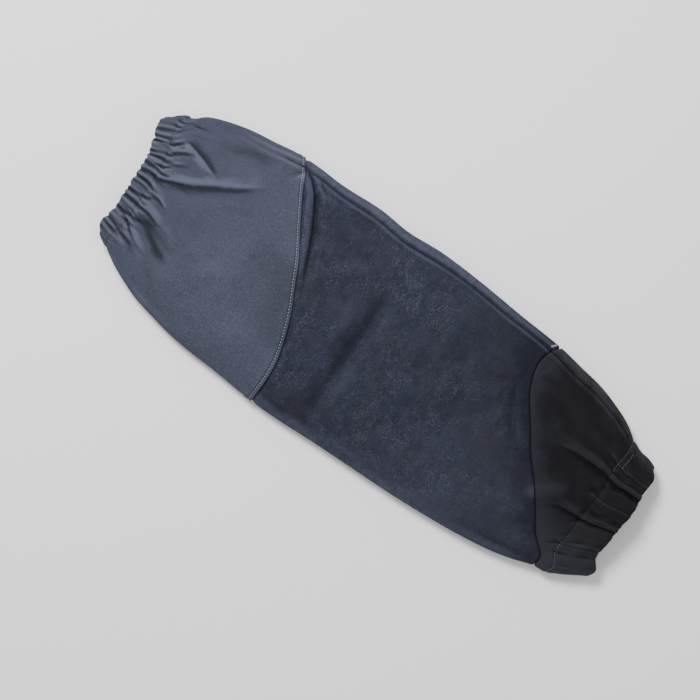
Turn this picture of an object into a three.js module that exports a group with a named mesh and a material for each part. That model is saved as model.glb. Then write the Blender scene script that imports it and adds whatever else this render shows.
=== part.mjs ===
import * as THREE from 'three';

// A welder's arm sleeve lying on its flat underside. Millimetres, +X from the upper-arm cuff to the wrist
// cuff, +Y towards the folded edge beside the long closing seam, +Z up.

// Sizes of the sleeve as it lies
const SLEEVE_LENGTH = 533;
const BODY_WIDTH = 206;
const BODY_HEIGHT = 40;
const UPPER_CUFF_WIDTH = 118;
const UPPER_CUFF_HEIGHT = 27;
const WRIST_CUFF_WIDTH = 114;
const WRIST_CUFF_HEIGHT = 26;
const SIDE_FOLD_HEIGHT = 9;

// Cloth, leather and elastic
const COTTON_WALL = 1.2;
const LEATHER_WALL = 1.6;
const WRIST_CLOTH_WALL = 1.2;
const ELASTIC_THICKNESS = 1.2;
const UPPER_ELASTIC_WIDTH = 12.7;
const WRIST_ELASTIC_WIDTH = 30;

// Seams, casings and fits
const CLEARANCE = 0.3;
const CASING_PINCH = 1.6;
const HEM_TAIL = 3;
const LAP = 12;
const LAP_RAMP = 6;
const SEAM_ALLOWANCE = 5;
const SEAM_ROLL = 2.5;
const SIDE_SEAM_INSET = 9.5;
const SIDE_SEAM_DEPTH = 1.6;

// Gathers and creases
const UPPER_PLEAT_DEPTH = 1.7;
const UPPER_PLEAT_REACH = 34;
const WRIST_PLEAT_DEPTH = 1.6;
const WRIST_PLEAT_REACH = 26;
const EDGE_CALM = 0.85;
const CREASE_DEPTH = 4;
const CREASE_WIDTH = 11;

// Columns round the tube, the one that the closing seam follows, and pleats round each cuff: two columns to
// a narrow pleat, three to a wide one
const COLUMNS = 60;
const SEAM_COLUMN = 2;
const UPPER_PLEATS = COLUMNS / 2;
const WRIST_PLEATS = COLUMNS / 3;

// How the pleats' height varies round a cuff: waves to a turn, and shares of the height
const PLEAT_WAVES = [
  { waves: 3, sine: 0.22, cosine: 0.0 },
  { waves: 7, sine: 0.0, cosine: 0.14 },
];

// Rows along each panel as shares of its length, close together where the gathers are steep
const UPPER_ARM_ROWS = [0, 0.1, 0.22, 0.36, 0.52, 0.68, 0.84, 1];
const FOREARM_ROWS = [0.05, 0.14, 0.24, 0.35, 0.46, 0.57, 0.68, 0.79, 0.9];
const WRIST_ROWS = [0.35, 0.7, 1];

// Places that follow from the sizes above
const CHANNEL = ELASTIC_THICKNESS + 2 * CLEARANCE;
const UPPER_CASING = COTTON_WALL + UPPER_ELASTIC_WIDTH + 2 * CLEARANCE + CASING_PINCH;
const WRIST_CASING = WRIST_CLOTH_WALL + WRIST_ELASTIC_WIDTH + 2 * CLEARANCE + CASING_PINCH;
const FREE_LENGTH = SLEEVE_LENGTH - UPPER_CASING - WRIST_CASING;

// Outline of the lying sleeve from the upper casing's stitches (station 0) to the wrist casing's (station 1).
// upper and lower: half widths on the +Y and -Y sides, loft: height, each as a share of the way from the
// cuff's size (0) to the body's size (1).
const OUTLINE = [
  { station: 0.0, upper: 0.355, lower: 0.16, loft: 0.0 },
  { station: 0.024, upper: 0.52, lower: 0.325, loft: 0.2 },
  { station: 0.052, upper: 0.66, lower: 0.48, loft: 0.36 },
  { station: 0.093, upper: 0.8, lower: 0.66, loft: 0.56 },
  { station: 0.14, upper: 0.885, lower: 0.78, loft: 0.75 },
  { station: 0.186, upper: 0.965, lower: 0.875, loft: 0.87 },
  { station: 0.233, upper: 0.98, lower: 0.925, loft: 0.93 },
  { station: 0.289, upper: 0.957, lower: 0.953, loft: 0.97 },
  { station: 0.372, upper: 1.0, lower: 1.02, loft: 1.0 },
  { station: 0.438, upper: 0.95, lower: 1.025, loft: 0.98 },
  { station: 0.512, upper: 1.0, lower: 0.99, loft: 1.0 },
  { station: 0.605, upper: 0.96, lower: 0.965, loft: 0.98 },
  { station: 0.698, upper: 0.88, lower: 0.94, loft: 0.93 },
  { station: 0.791, upper: 0.815, lower: 0.875, loft: 0.85 },
  { station: 0.844, upper: 0.727, lower: 0.815, loft: 0.76 },
  { station: 0.894, upper: 0.64, lower: 0.735, loft: 0.63 },
  { station: 0.937, upper: 0.5, lower: 0.617, loft: 0.46 },
  { station: 0.972, upper: 0.345, lower: 0.49, loft: 0.27 },
  { station: 1.0, upper: 0.15, lower: 0.46, loft: 0.0 },
];

// The same shares at the folded end of each cuff. The casings run straight from the stitches to them.
const UPPER_END = { upper: 0.15, lower: 0.0, loft: 0.0 };
const WRIST_END = { upper: -0.045, lower: 0.03, loft: 0.0 };

// How far each cuff's end stands out of line. across: 0 at the -Y edge, 1 at the +Y edge.
// upper and wrist: shift along +X as a share of that cuff's width.
const CUFF_BOW = [
  { across: 0.0, upper: -0.015, wrist: 0.024 },
  { across: 0.06, upper: -0.03, wrist: 0.04 },
  { across: 0.15, upper: 0.0, wrist: -0.02 },
  { across: 0.28, upper: 0.015, wrist: -0.016 },
  { across: 0.45, upper: 0.008, wrist: -0.008 },
  { across: 0.63, upper: 0.0, wrist: 0.008 },
  { across: 0.77, upper: -0.04, wrist: -0.014 },
  { across: 0.93, upper: -0.095, wrist: 0.008 },
  { across: 1.0, upper: -0.05, wrist: 0.0 },
];

// The slanted seams across the tube, as stations of the outline
const SLANTED_SEAMS = [
  { across: 0.0, leather: 0.378, wrist: 0.975 },
  { across: 0.1, leather: 0.38, wrist: 0.968 },
  { across: 0.2, leather: 0.377, wrist: 0.945 },
  { across: 0.3, leather: 0.366, wrist: 0.92 },
  { across: 0.41, leather: 0.348, wrist: 0.888 },
  { across: 0.52, leather: 0.324, wrist: 0.851 },
  { across: 0.62, leather: 0.302, wrist: 0.823 },
  { across: 0.74, leather: 0.27, wrist: 0.788 },
  { across: 0.86, leather: 0.238, wrist: 0.771 },
  { across: 0.95, leather: 0.217, wrist: 0.777 },
  { across: 1.0, leather: 0.203, wrist: 0.79 },
];

// Creases (height below 0) and ridges (above 0) of the top side, each from one point to another.
// height and width: shares of CREASE_DEPTH and CREASE_WIDTH.
const CREASES = [
  { fromStation: 0.0, fromAcross: 0.57, toStation: 0.093, toAcross: 0.645, height: -0.95, width: 0.8 },
  { fromStation: 0.093, fromAcross: 0.645, toStation: 0.162, toAcross: 0.766, height: -0.8, width: 0.9 },
  { fromStation: 0.02, fromAcross: 0.53, toStation: 0.12, toAcross: 0.6, height: 0.45, width: 1.2 },
  { fromStation: 0.024, fromAcross: 0.82, toStation: 0.093, toAcross: 0.72, height: -0.55, width: 0.7 },
  { fromStation: 0.013, fromAcross: 0.27, toStation: 0.074, toAcross: 0.241, height: -0.7, width: 0.8 },
  { fromStation: 0.074, fromAcross: 0.241, toStation: 0.117, toAcross: 0.08, height: -0.7, width: 0.8 },
  { fromStation: 0.084, fromAcross: 0.9, toStation: 0.214, toAcross: 0.87, height: -0.5, width: 1.1 },
  { fromStation: 0.2365, fromAcross: 0.94, toStation: 0.285, toAcross: 0.775, height: 0.4, width: 0.5 },
  { fromStation: 0.285, fromAcross: 0.775, toStation: 0.33, toAcross: 0.555, height: 0.35, width: 0.5 },
  { fromStation: 0.4655, fromAcross: 0.8, toStation: 0.4655, toAcross: 0.06, height: -0.65, width: 1.5 },
  { fromStation: 0.425, fromAcross: 0.75, toStation: 0.43, toAcross: 0.12, height: 0.3, width: 1.3 },
  { fromStation: 0.56, fromAcross: 0.7, toStation: 0.6, toAcross: 0.3, height: 0.3, width: 2.2 },
  { fromStation: 0.66, fromAcross: 0.75, toStation: 0.7, toAcross: 0.25, height: -0.3, width: 2.0 },
  { fromStation: 0.88, fromAcross: 0.68, toStation: 1.0, toAcross: 0.73, height: -0.7, width: 0.8 },
  { fromStation: 0.9, fromAcross: 0.44, toStation: 1.0, toAcross: 0.4, height: -0.6, width: 0.8 },
  { fromStation: 0.93, fromAcross: 0.24, toStation: 1.0, toAcross: 0.12, height: -0.5, width: 0.7 },
];

// Shares that shape the cross section: how blunt the crown is, where the underside turns up, how high the
// cuffs' side folds stand, and how round a turned seam is
const CROWN_POWER = 2.2;
const CROWN_BLUNTNESS = 0.62;
const UNDERSIDE_TURN = 0.2;
const CUFF_FOLD_SHARE = 0.42;
const ROLL_SHARE = 0.3;

// Distance each way over which the sleeve's slope is taken, and over which a cuff's bow fades out
const SLOPE_REACH = 5;
const BOW_REACH = 70;

/** Value of a column of a table at a place along its key column, on a smooth curve through the rows. */
function sample(table, key, column, place) {
  const next = table.findIndex((row) => row[key] > place);
  if (next === -1) {
    return table[table.length - 1][column];
  }
  if (next === 0) {
    return table[0][column];
  }
  const before = table[Math.max(next - 2, 0)];
  const start = table[next - 1];
  const end = table[next];
  const after = table[Math.min(next + 1, table.length - 1)];
  const span = end[key] - start[key];
  const share = (place - start[key]) / span;
  const leaving = (span * (end[column] - before[column])) / (end[key] - before[key]);
  const arriving = (span * (after[column] - start[column])) / (after[key] - start[key]);
  const square = share * share;
  const cube = square * share;
  return (2 * cube - 3 * square + 1) * start[column] + (cube - 2 * square + share) * leaving
    + (3 * square - 2 * cube) * end[column] + (cube - square) * arriving;
}

/** Distance of a station of the outline from the upper cuff's end. */
function placeOf(station) {
  return UPPER_CASING + station * FREE_LENGTH;
}

/** One share of the outline at a distance from the upper cuff's end. */
function outlineShare(column, place) {
  const share = sample(OUTLINE, 'station', column, (place - UPPER_CASING) / FREE_LENGTH);
  if (place < UPPER_CASING) {
    return THREE.MathUtils.lerp(UPPER_END[column], share, place / UPPER_CASING);
  }
  if (place > placeOf(1)) {
    return THREE.MathUtils.lerp(share, WRIST_END[column], (place - placeOf(1)) / WRIST_CASING);
  }
  return share;
}

/** The sleeve's edges and heights at a distance from the upper cuff's end. */
function outlineAt(place) {
  const mix = THREE.MathUtils.clamp((place - UPPER_CASING) / FREE_LENGTH, 0, 1);
  const cuffHalf = THREE.MathUtils.lerp(UPPER_CUFF_WIDTH, WRIST_CUFF_WIDTH, mix) / 2;
  const cuffHeight = THREE.MathUtils.lerp(UPPER_CUFF_HEIGHT, WRIST_CUFF_HEIGHT, mix);
  const loft = outlineShare('loft', place);
  return {
    high: THREE.MathUtils.lerp(cuffHalf, BODY_WIDTH / 2, outlineShare('upper', place)),
    low: -THREE.MathUtils.lerp(cuffHalf, BODY_WIDTH / 2, outlineShare('lower', place)),
    crown: THREE.MathUtils.lerp(cuffHeight, BODY_HEIGHT, loft),
    fold: THREE.MathUtils.lerp(cuffHeight * CUFF_FOLD_SHARE, SIDE_FOLD_HEIGHT, loft),
  };
}

/** Place of a column across the sleeve, from -1 at the -Y edge to 1 at the +Y edge. */
function spreadOf(column) {
  const half = COLUMNS / 2;
  const turned = Math.min(column, COLUMNS - column);
  const seam = 1 - SIDE_SEAM_INSET / (BODY_WIDTH / 2);
  if (turned <= SEAM_COLUMN) {
    return THREE.MathUtils.lerp(1, seam, turned / SEAM_COLUMN);
  }
  if (turned >= half - SEAM_COLUMN) {
    return -THREE.MathUtils.lerp(1, seam, (half - turned) / SEAM_COLUMN);
  }
  return THREE.MathUtils.mapLinear(turned, SEAM_COLUMN, half - SEAM_COLUMN, seam, -seam);
}

/** Share across the sleeve of a column, from 0 at the -Y edge to 1 at the +Y edge. */
function acrossOf(column) {
  return (1 + spreadOf(column)) / 2;
}

/** How far a point is shifted along the sleeve where a cuff's end stands out of line. */
function bowAt(place, across) {
  const nearUpper = 1 - THREE.MathUtils.smoothstep(place, UPPER_CASING, UPPER_CASING + BOW_REACH);
  const nearWrist = THREE.MathUtils.smoothstep(place, placeOf(1) - BOW_REACH, placeOf(1));
  return nearUpper * UPPER_CUFF_WIDTH * sample(CUFF_BOW, 'across', 'upper', across)
    + nearWrist * WRIST_CUFF_WIDTH * sample(CUFF_BOW, 'across', 'wrist', across);
}

/** Point of the smooth tube, before gathers and creases: a low crown over a flat underside. */
function smoothPoint(place, column) {
  const { high, low, crown, fold } = outlineAt(place);
  const index = (column + COLUMNS) % COLUMNS;
  const out = Math.abs(spreadOf(index));
  const x = place + bowAt(place, acrossOf(index));
  const y = THREE.MathUtils.lerp(low, high, acrossOf(index));
  if (index <= COLUMNS / 2) {
    return new THREE.Vector3(x, y, fold + (crown - fold) * (1 - out ** CROWN_POWER) ** CROWN_BLUNTNESS);
  }
  return new THREE.Vector3(x, y, fold * (1 - Math.min(1, Math.sqrt((1 - out) / UNDERSIDE_TURN))));
}

/** Outward direction of the smooth tube. The layers of a casing share one direction, so they stay parallel. */
function outwardAt(place, column) {
  let middle = place;
  if (place <= UPPER_CASING + HEM_TAIL + CLEARANCE) {
    middle = UPPER_CASING / 2;
  }
  if (place >= placeOf(1) - HEM_TAIL - CLEARANCE) {
    middle = placeOf(1) + WRIST_CASING / 2;
  }
  const round = smoothPoint(middle, column + 1).sub(smoothPoint(middle, column - 1));
  const along = smoothPoint(middle + SLOPE_REACH, column).sub(smoothPoint(middle - SLOPE_REACH, column));
  return round.cross(along).normalize();
}

/** Height of one crease or ridge at a point of the top side. */
function creaseHeight(crease, point) {
  const ends = ['from', 'to'].map((end) => {
    const x = placeOf(crease[`${end}Station`]);
    const { high, low } = outlineAt(x);
    return new THREE.Vector2(x, THREE.MathUtils.lerp(low, high, crease[`${end}Across`]));
  });
  const run = ends[1].clone().sub(ends[0]);
  const offset = new THREE.Vector2(point.x, point.y).sub(ends[0]);
  const share = THREE.MathUtils.clamp(offset.dot(run) / run.lengthSq(), 0, 1);
  const distance = offset.sub(run.multiplyScalar(share)).length();
  return CREASE_DEPTH * crease.height * Math.exp(-((distance / (CREASE_WIDTH * crease.width)) ** 2));
}

/** Height of both cuffs' pleats. They die away from the casings and are calm at the side folds. */
function pleatHeight(loose, column) {
  const turn = (2 * Math.PI * column) / COLUMNS;
  const calm = 1 - EDGE_CALM * Math.abs(spreadOf(column)) ** 4;
  const uneven = PLEAT_WAVES.reduce(
    (total, { waves, sine, cosine }) => total + sine * Math.sin(waves * turn) + cosine * Math.cos(waves * turn),
    1,
  );
  const fromUpper = (loose - UPPER_CASING - HEM_TAIL) / UPPER_PLEAT_REACH;
  const fromWrist = (placeOf(1) - HEM_TAIL - loose) / WRIST_PLEAT_REACH;
  const upper = UPPER_PLEAT_DEPTH * Math.cos(UPPER_PLEATS * turn) * Math.exp(-fromUpper);
  const wrist = WRIST_PLEAT_DEPTH * Math.cos(WRIST_PLEATS * turn) * Math.exp(-fromWrist);
  return calm * uneven * (upper + wrist);
}

/** How far the cloth stands out of the smooth tube: cuff gathers, creases and the closing seam's valley. */
function reliefAt(place, column) {
  const loose = THREE.MathUtils.clamp(place, UPPER_CASING + HEM_TAIL, placeOf(1) - HEM_TAIL);
  const pleats = pleatHeight(loose, column);
  if (column === SEAM_COLUMN) {
    return pleats - SIDE_SEAM_DEPTH;
  }
  if (column < SEAM_COLUMN || column >= COLUMNS / 2) {
    return pleats;
  }
  const point = smoothPoint(loose, column);
  return CREASES.reduce((total, crease) => total + creaseHeight(crease, point), pleats);
}

/** Point of the sleeve's wall at a depth below its outer face. The underside never sinks below the ground. */
function wallPoint(place, column, depth) {
  const outward = outwardAt(place, column);
  const point = smoothPoint(place, column).addScaledVector(outward, reliefAt(place, column));
  point.z = Math.max(point.z, 0);
  return point.addScaledVector(outward, -depth);
}

// Lines round the tube, each the distance from the upper cuff's end as a function of the share across
const upperEnd = () => 0;
const wristEnd = () => SLEEVE_LENGTH;
const leatherSeam = (across) => placeOf(sample(SLANTED_SEAMS, 'across', 'leather', across));
const wristSeam = (across) => placeOf(sample(SLANTED_SEAMS, 'across', 'wrist', across));

/** A line moved along the sleeve by a distance. */
function shifted(line, distance) {
  return (across) => line(across) + distance;
}

/** Lines between two lines, one at each share of the way, as points of a profile at a depth. */
function rowsBetween(from, to, shares, depth) {
  return shares.map((share) => ({
    line: (across) => THREE.MathUtils.lerp(from(across), to(across), share),
    depth,
  }));
}

/** Closed solid made by leading a closed profile of { line, depth } points once round the tube. */
function tubeSolid(name, profile, finish) {
  const positions = [];
  profile.forEach(({ line, depth }) => {
    for (let column = 0; column < COLUMNS; column += 1) {
      positions.push(...wallPoint(line(acrossOf(column)), column, depth).toArray());
    }
  });
  const faces = [];
  profile.forEach(({ line, depth }, row) => {
    const nextRow = (row + 1) % profile.length;
    const step = profile[nextRow].line(0.5) - line(0.5);
    const backwards = step < 0 || (step === 0 && profile[nextRow].depth < depth);
    for (let column = 0; column < COLUMNS; column += 1) {
      const nextColumn = (column + 1) % COLUMNS;
      const a = row * COLUMNS + column;
      const b = row * COLUMNS + nextColumn;
      const c = nextRow * COLUMNS + nextColumn;
      const d = nextRow * COLUMNS + column;
      faces.push(...(backwards ? [a, b, d, b, c, d] : [a, b, c, a, c, d]));
    }
  });
  const geometry = new THREE.BufferGeometry();
  geometry.setAttribute('position', new THREE.Float32BufferAttribute(positions, 3));
  geometry.setIndex(faces);
  geometry.computeVertexNormals();
  const mesh = new THREE.Mesh(geometry, new THREE.MeshStandardMaterial(finish));
  mesh.name = name;
  return mesh;
}

/**
 * Casing of one cuff, from its stitches round the folded end to the hem's raw edge and back to the stitches.
 * end is the cuff's end line, inward is +1 if the sleeve lies on its +X side and -1 if on its -X side.
 */
function casingProfile(end, inward, wall, elasticWidth) {
  const at = (distance, depth) => ({ line: shifted(end, inward * distance), depth });
  const channelEnd = wall + elasticWidth + 2 * CLEARANCE;
  const stitches = channelEnd + CASING_PINCH;
  const hemEnd = stitches + HEM_TAIL;
  const back = 2 * wall + CHANNEL;
  return [
    at(stitches, 0),
    at(wall, 0),
    at(0, back / 3),
    at(0, (2 * back) / 3),
    at(wall, back),
    at(channelEnd, back),
    at(stitches, 2 * wall + CLEARANCE),
    at(hemEnd, 2 * wall + CLEARANCE),
    at(hemEnd, wall + CLEARANCE),
    at(stitches, wall + CLEARANCE),
    at(channelEnd, wall + CHANNEL),
    at(wall, wall + CHANNEL),
    at(wall, wall),
    at(stitches, wall),
  ];
}

/** Elastic ring lying in a casing's channel. */
function elasticSolid(name, end, inward, wall, width, finish) {
  const near = shifted(end, inward * (wall + CLEARANCE));
  const far = shifted(end, inward * (wall + CLEARANCE + width));
  const outer = wall + CLEARANCE;
  const inner = outer + ELASTIC_THICKNESS;
  const [first, last] = inward > 0 ? [near, far] : [far, near];
  return tubeSolid(name, [
    { line: first, depth: outer },
    { line: last, depth: outer },
    { line: last, depth: inner },
    { line: first, depth: inner },
  ], finish);
}

/**
 * Edge of a panel that is turned in at the plain seam, from its outer face round to its inner face.
 * side is +1 for the panel on the seam's +X side and -1 for the one on its -X side.
 */
function turnedEdge(seam, side, wall) {
  const at = (distance, depth) => ({ line: shifted(seam, side * (CLEARANCE / 2 + distance)), depth });
  return [
    at(SEAM_ROLL, 0),
    at(SEAM_ROLL * ROLL_SHARE, SEAM_ROLL * ROLL_SHARE),
    at(0, SEAM_ROLL),
    at(0, SEAM_ALLOWANCE),
    at(wall, SEAM_ALLOWANCE),
    at(wall, wall + SEAM_ROLL * ROLL_SHARE),
    at(SEAM_ROLL + wall / 2, wall),
  ];
}

function makeUpperArmPanel() {
  const stitches = shifted(upperEnd, UPPER_CASING);
  const lapStart = shifted(leatherSeam, -LAP);
  const hemEnd = shifted(stitches, HEM_TAIL);
  return tubeSolid('upper_arm_panel', [
    ...rowsBetween(hemEnd, lapStart, UPPER_ARM_ROWS, 0),
    { line: leatherSeam, depth: 0 },
    { line: leatherSeam, depth: COTTON_WALL },
    ...rowsBetween(hemEnd, lapStart, UPPER_ARM_ROWS, COTTON_WALL).reverse(),
    ...casingProfile(upperEnd, 1, COTTON_WALL, UPPER_ELASTIC_WIDTH).reverse(),
  ], { color: '#596173', roughness: 0.9, metalness: 0 });
}

function makeForearmPanel() {
  const step = COTTON_WALL + CLEARANCE;
  const lapStart = shifted(leatherSeam, -LAP);
  const rampEnd = shifted(leatherSeam, LAP_RAMP);
  const rollStart = shifted(wristSeam, -SEAM_ROLL - CLEARANCE / 2);
  return tubeSolid('forearm_panel', [
    { line: lapStart, depth: step },
    { line: leatherSeam, depth: step },
    { line: rampEnd, depth: 0 },
    ...rowsBetween(rampEnd, rollStart, FOREARM_ROWS, 0),
    ...turnedEdge(wristSeam, -1, LEATHER_WALL),
    ...rowsBetween(rampEnd, rollStart, FOREARM_ROWS, LEATHER_WALL).reverse(),
    { line: rampEnd, depth: LEATHER_WALL },
    { line: leatherSeam, depth: step + LEATHER_WALL },
    { line: lapStart, depth: step + LEATHER_WALL },
  ], { color: '#363844', roughness: 0.95, metalness: 0 });
}

function makeWristPanel() {
  const stitches = shifted(wristEnd, -WRIST_CASING);
  const rollEnd = shifted(wristSeam, SEAM_ROLL + CLEARANCE / 2);
  const hemEnd = shifted(stitches, -HEM_TAIL);
  return tubeSolid('wrist_panel', [
    ...rowsBetween(rollEnd, hemEnd, WRIST_ROWS, 0),
    ...casingProfile(wristEnd, -1, WRIST_CLOTH_WALL, WRIST_ELASTIC_WIDTH),
    ...rowsBetween(rollEnd, hemEnd, WRIST_ROWS, WRIST_CLOTH_WALL).reverse(),
    ...turnedEdge(wristSeam, 1, WRIST_CLOTH_WALL).reverse(),
  ], { color: '#202024', roughness: 0.85, metalness: 0 });
}

function makeElastics() {
  const finish = { color: '#1d1d20', roughness: 0.8, metalness: 0 };
  return [
    elasticSolid('upper_elastic', upperEnd, 1, COTTON_WALL, UPPER_ELASTIC_WIDTH, finish),
    elasticSolid('wrist_elastic', wristEnd, -1, WRIST_CLOTH_WALL, WRIST_ELASTIC_WIDTH, finish),
  ];
}

const sleeve = new THREE.Group();
sleeve.add(makeUpperArmPanel(), makeForearmPanel(), makeWristPanel(), ...makeElastics());

// The origin is under the middle of the sleeve's box, on the surface that it lies on
const box = new THREE.Box3().setFromObject(sleeve);
const centre = box.getCenter(new THREE.Vector3());
sleeve.position.set(-centre.x, -centre.y, -box.min.z);

export default sleeve;
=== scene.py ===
"""Looks of a welder's arm sleeve lying on a table: cloth, suede, elastic, stitches, light and camera."""

from __future__ import annotations

import logging
import math
from collections.abc import Callable, Sequence
from dataclasses import dataclass, field
from enum import Enum

import bpy
import numpy as np
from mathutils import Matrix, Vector

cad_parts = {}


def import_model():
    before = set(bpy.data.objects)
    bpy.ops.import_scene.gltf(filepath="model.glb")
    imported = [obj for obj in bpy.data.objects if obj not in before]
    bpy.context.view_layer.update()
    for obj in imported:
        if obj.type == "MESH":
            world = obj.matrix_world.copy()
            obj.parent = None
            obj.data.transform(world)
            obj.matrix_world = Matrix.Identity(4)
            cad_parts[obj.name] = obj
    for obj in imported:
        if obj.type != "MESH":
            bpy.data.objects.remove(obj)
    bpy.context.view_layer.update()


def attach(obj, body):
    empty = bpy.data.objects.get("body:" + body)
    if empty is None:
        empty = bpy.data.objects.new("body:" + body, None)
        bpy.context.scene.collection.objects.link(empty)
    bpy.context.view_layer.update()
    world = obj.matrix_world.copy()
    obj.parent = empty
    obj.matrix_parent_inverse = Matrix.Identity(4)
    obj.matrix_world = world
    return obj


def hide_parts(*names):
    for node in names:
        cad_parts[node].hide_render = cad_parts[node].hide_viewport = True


LOG = logging.getLogger("sleeve")
MM = 0.001
BODY = "root"
CLOTH_UV = "cloth"
SHADE_AND_WEAR = "shade_and_wear"

Line = Callable[[np.ndarray], np.ndarray]


class Cuff(Enum):
    """The two gathered ends, by the direction from the cuff's end into the sleeve."""

    UPPER_ARM = 1
    WRIST = -1


@dataclass(frozen=True)
class Station:
    """One row of the outline: half widths and height as shares from the cuff's size (0) to the body's (1)."""

    station: float
    upper: float
    lower: float
    loft: float


OUTLINE = (
    Station(0.0, 0.355, 0.16, 0.0),
    Station(0.024, 0.52, 0.325, 0.2),
    Station(0.052, 0.66, 0.48, 0.36),
    Station(0.093, 0.8, 0.66, 0.56),
    Station(0.14, 0.885, 0.78, 0.75),
    Station(0.186, 0.965, 0.875, 0.87),
    Station(0.233, 0.98, 0.925, 0.93),
    Station(0.289, 0.957, 0.953, 0.97),
    Station(0.372, 1.0, 1.02, 1.0),
    Station(0.438, 0.95, 1.025, 0.98),
    Station(0.512, 1.0, 0.99, 1.0),
    Station(0.605, 0.96, 0.965, 0.98),
    Station(0.698, 0.88, 0.94, 0.93),
    Station(0.791, 0.815, 0.875, 0.85),
    Station(0.844, 0.727, 0.815, 0.76),
    Station(0.894, 0.64, 0.735, 0.63),
    Station(0.937, 0.5, 0.617, 0.46),
    Station(0.972, 0.345, 0.49, 0.27),
    Station(1.0, 0.15, 0.46, 0.0),
)
UPPER_END = Station(-1.0, 0.15, 0.0, 0.0)
WRIST_END = Station(2.0, -0.045, 0.03, 0.0)


@dataclass(frozen=True)
class Bow:
    """How far each cuff's end stands out of line at a share across, as a share of that cuff's width."""

    across: float
    upper: float
    wrist: float


CUFF_BOW = (
    Bow(0.0, -0.015, 0.024),
    Bow(0.06, -0.03, 0.04),
    Bow(0.15, 0.0, -0.02),
    Bow(0.28, 0.015, -0.016),
    Bow(0.45, 0.008, -0.008),
    Bow(0.63, 0.0, 0.008),
    Bow(0.77, -0.04, -0.014),
    Bow(0.93, -0.095, 0.008),
    Bow(1.0, -0.05, 0.0),
)


@dataclass(frozen=True)
class SeamPoint:
    """Where the two slanted seams run, as stations of the outline, at a share across the sleeve."""

    across: float
    leather: float
    wrist: float


SLANTED_SEAMS = (
    SeamPoint(0.0, 0.378, 0.975),
    SeamPoint(0.1, 0.38, 0.968),
    SeamPoint(0.2, 0.377, 0.945),
    SeamPoint(0.3, 0.366, 0.92),
    SeamPoint(0.41, 0.348, 0.888),
    SeamPoint(0.52, 0.324, 0.851),
    SeamPoint(0.62, 0.302, 0.823),
    SeamPoint(0.74, 0.27, 0.788),
    SeamPoint(0.86, 0.238, 0.771),
    SeamPoint(0.95, 0.217, 0.777),
    SeamPoint(1.0, 0.203, 0.79),
)


@dataclass(frozen=True)
class Swell:
    """One broad wave of loose cloth: its height, its runs along and across the sleeve, and its turn."""

    height: float
    run: float
    rise: float
    turn: float


SWELLS = (
    Swell(0.7, 61, 23, 0.4),
    Swell(0.65, 37, -31, 1.9),
    Swell(0.5, 19, 27, 3.1),
    Swell(0.3, -14, 12, 5.0),
)


class Raised(Enum):
    """Side of a crease's route on which the cloth stands up, seen along the route."""

    LEFT = 1
    RIGHT = -1


@dataclass(frozen=True)
class Crease:
    """A crease of the top side along a short route.

    route: points of (station, share across). step: height by which the raised side stands above the other at
    the crease's line. reach: over which the raised side slopes away. raised: which side. valley: depth of a
    soft trough along the route, below 0 for a swell. width: of the trough. fades: shares of the route over
    which the crease fades in and out. sink_share: how deep and far the lower side sinks, as a share of how
    high and far the raised side stands. sharpness: distance over which the step rises. All lengths are in
    millimetres.
    """

    route: tuple[tuple[float, float], ...]
    step: float = 0.0
    reach: float = 10
    raised: Raised = Raised.LEFT
    valley: float = 0.0
    width: float = 10
    fades: tuple[float, float] = (0.15, 0.35)
    sink_share: float = 0.7
    sharpness: float = 0.7

    def height(self, signed: np.ndarray, distance: np.ndarray, along: np.ndarray) -> np.ndarray:
        """Height that the crease adds.

        Args:
            signed: distance from the route, above 0 on its left.
            distance: distance from the route.
            along: share of the way along the route.
        """
        reach = self.reach * MM
        fade = smoothstep(0.0, self.fades[0], along) * smoothstep(0.0, self.fades[1], 1.0 - along)
        up = 0.5 + 0.5 * np.tanh(signed * self.raised.value / (self.sharpness * MM))
        lifted = up * np.exp(-distance / reach)
        sunk = (1 - up) * self.sink_share * np.exp(-distance / (self.sink_share * reach))
        trough = self.valley * MM * bell(distance, self.width * MM)
        return fade * (self.step * MM * (lifted - sunk) - trough)


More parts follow.
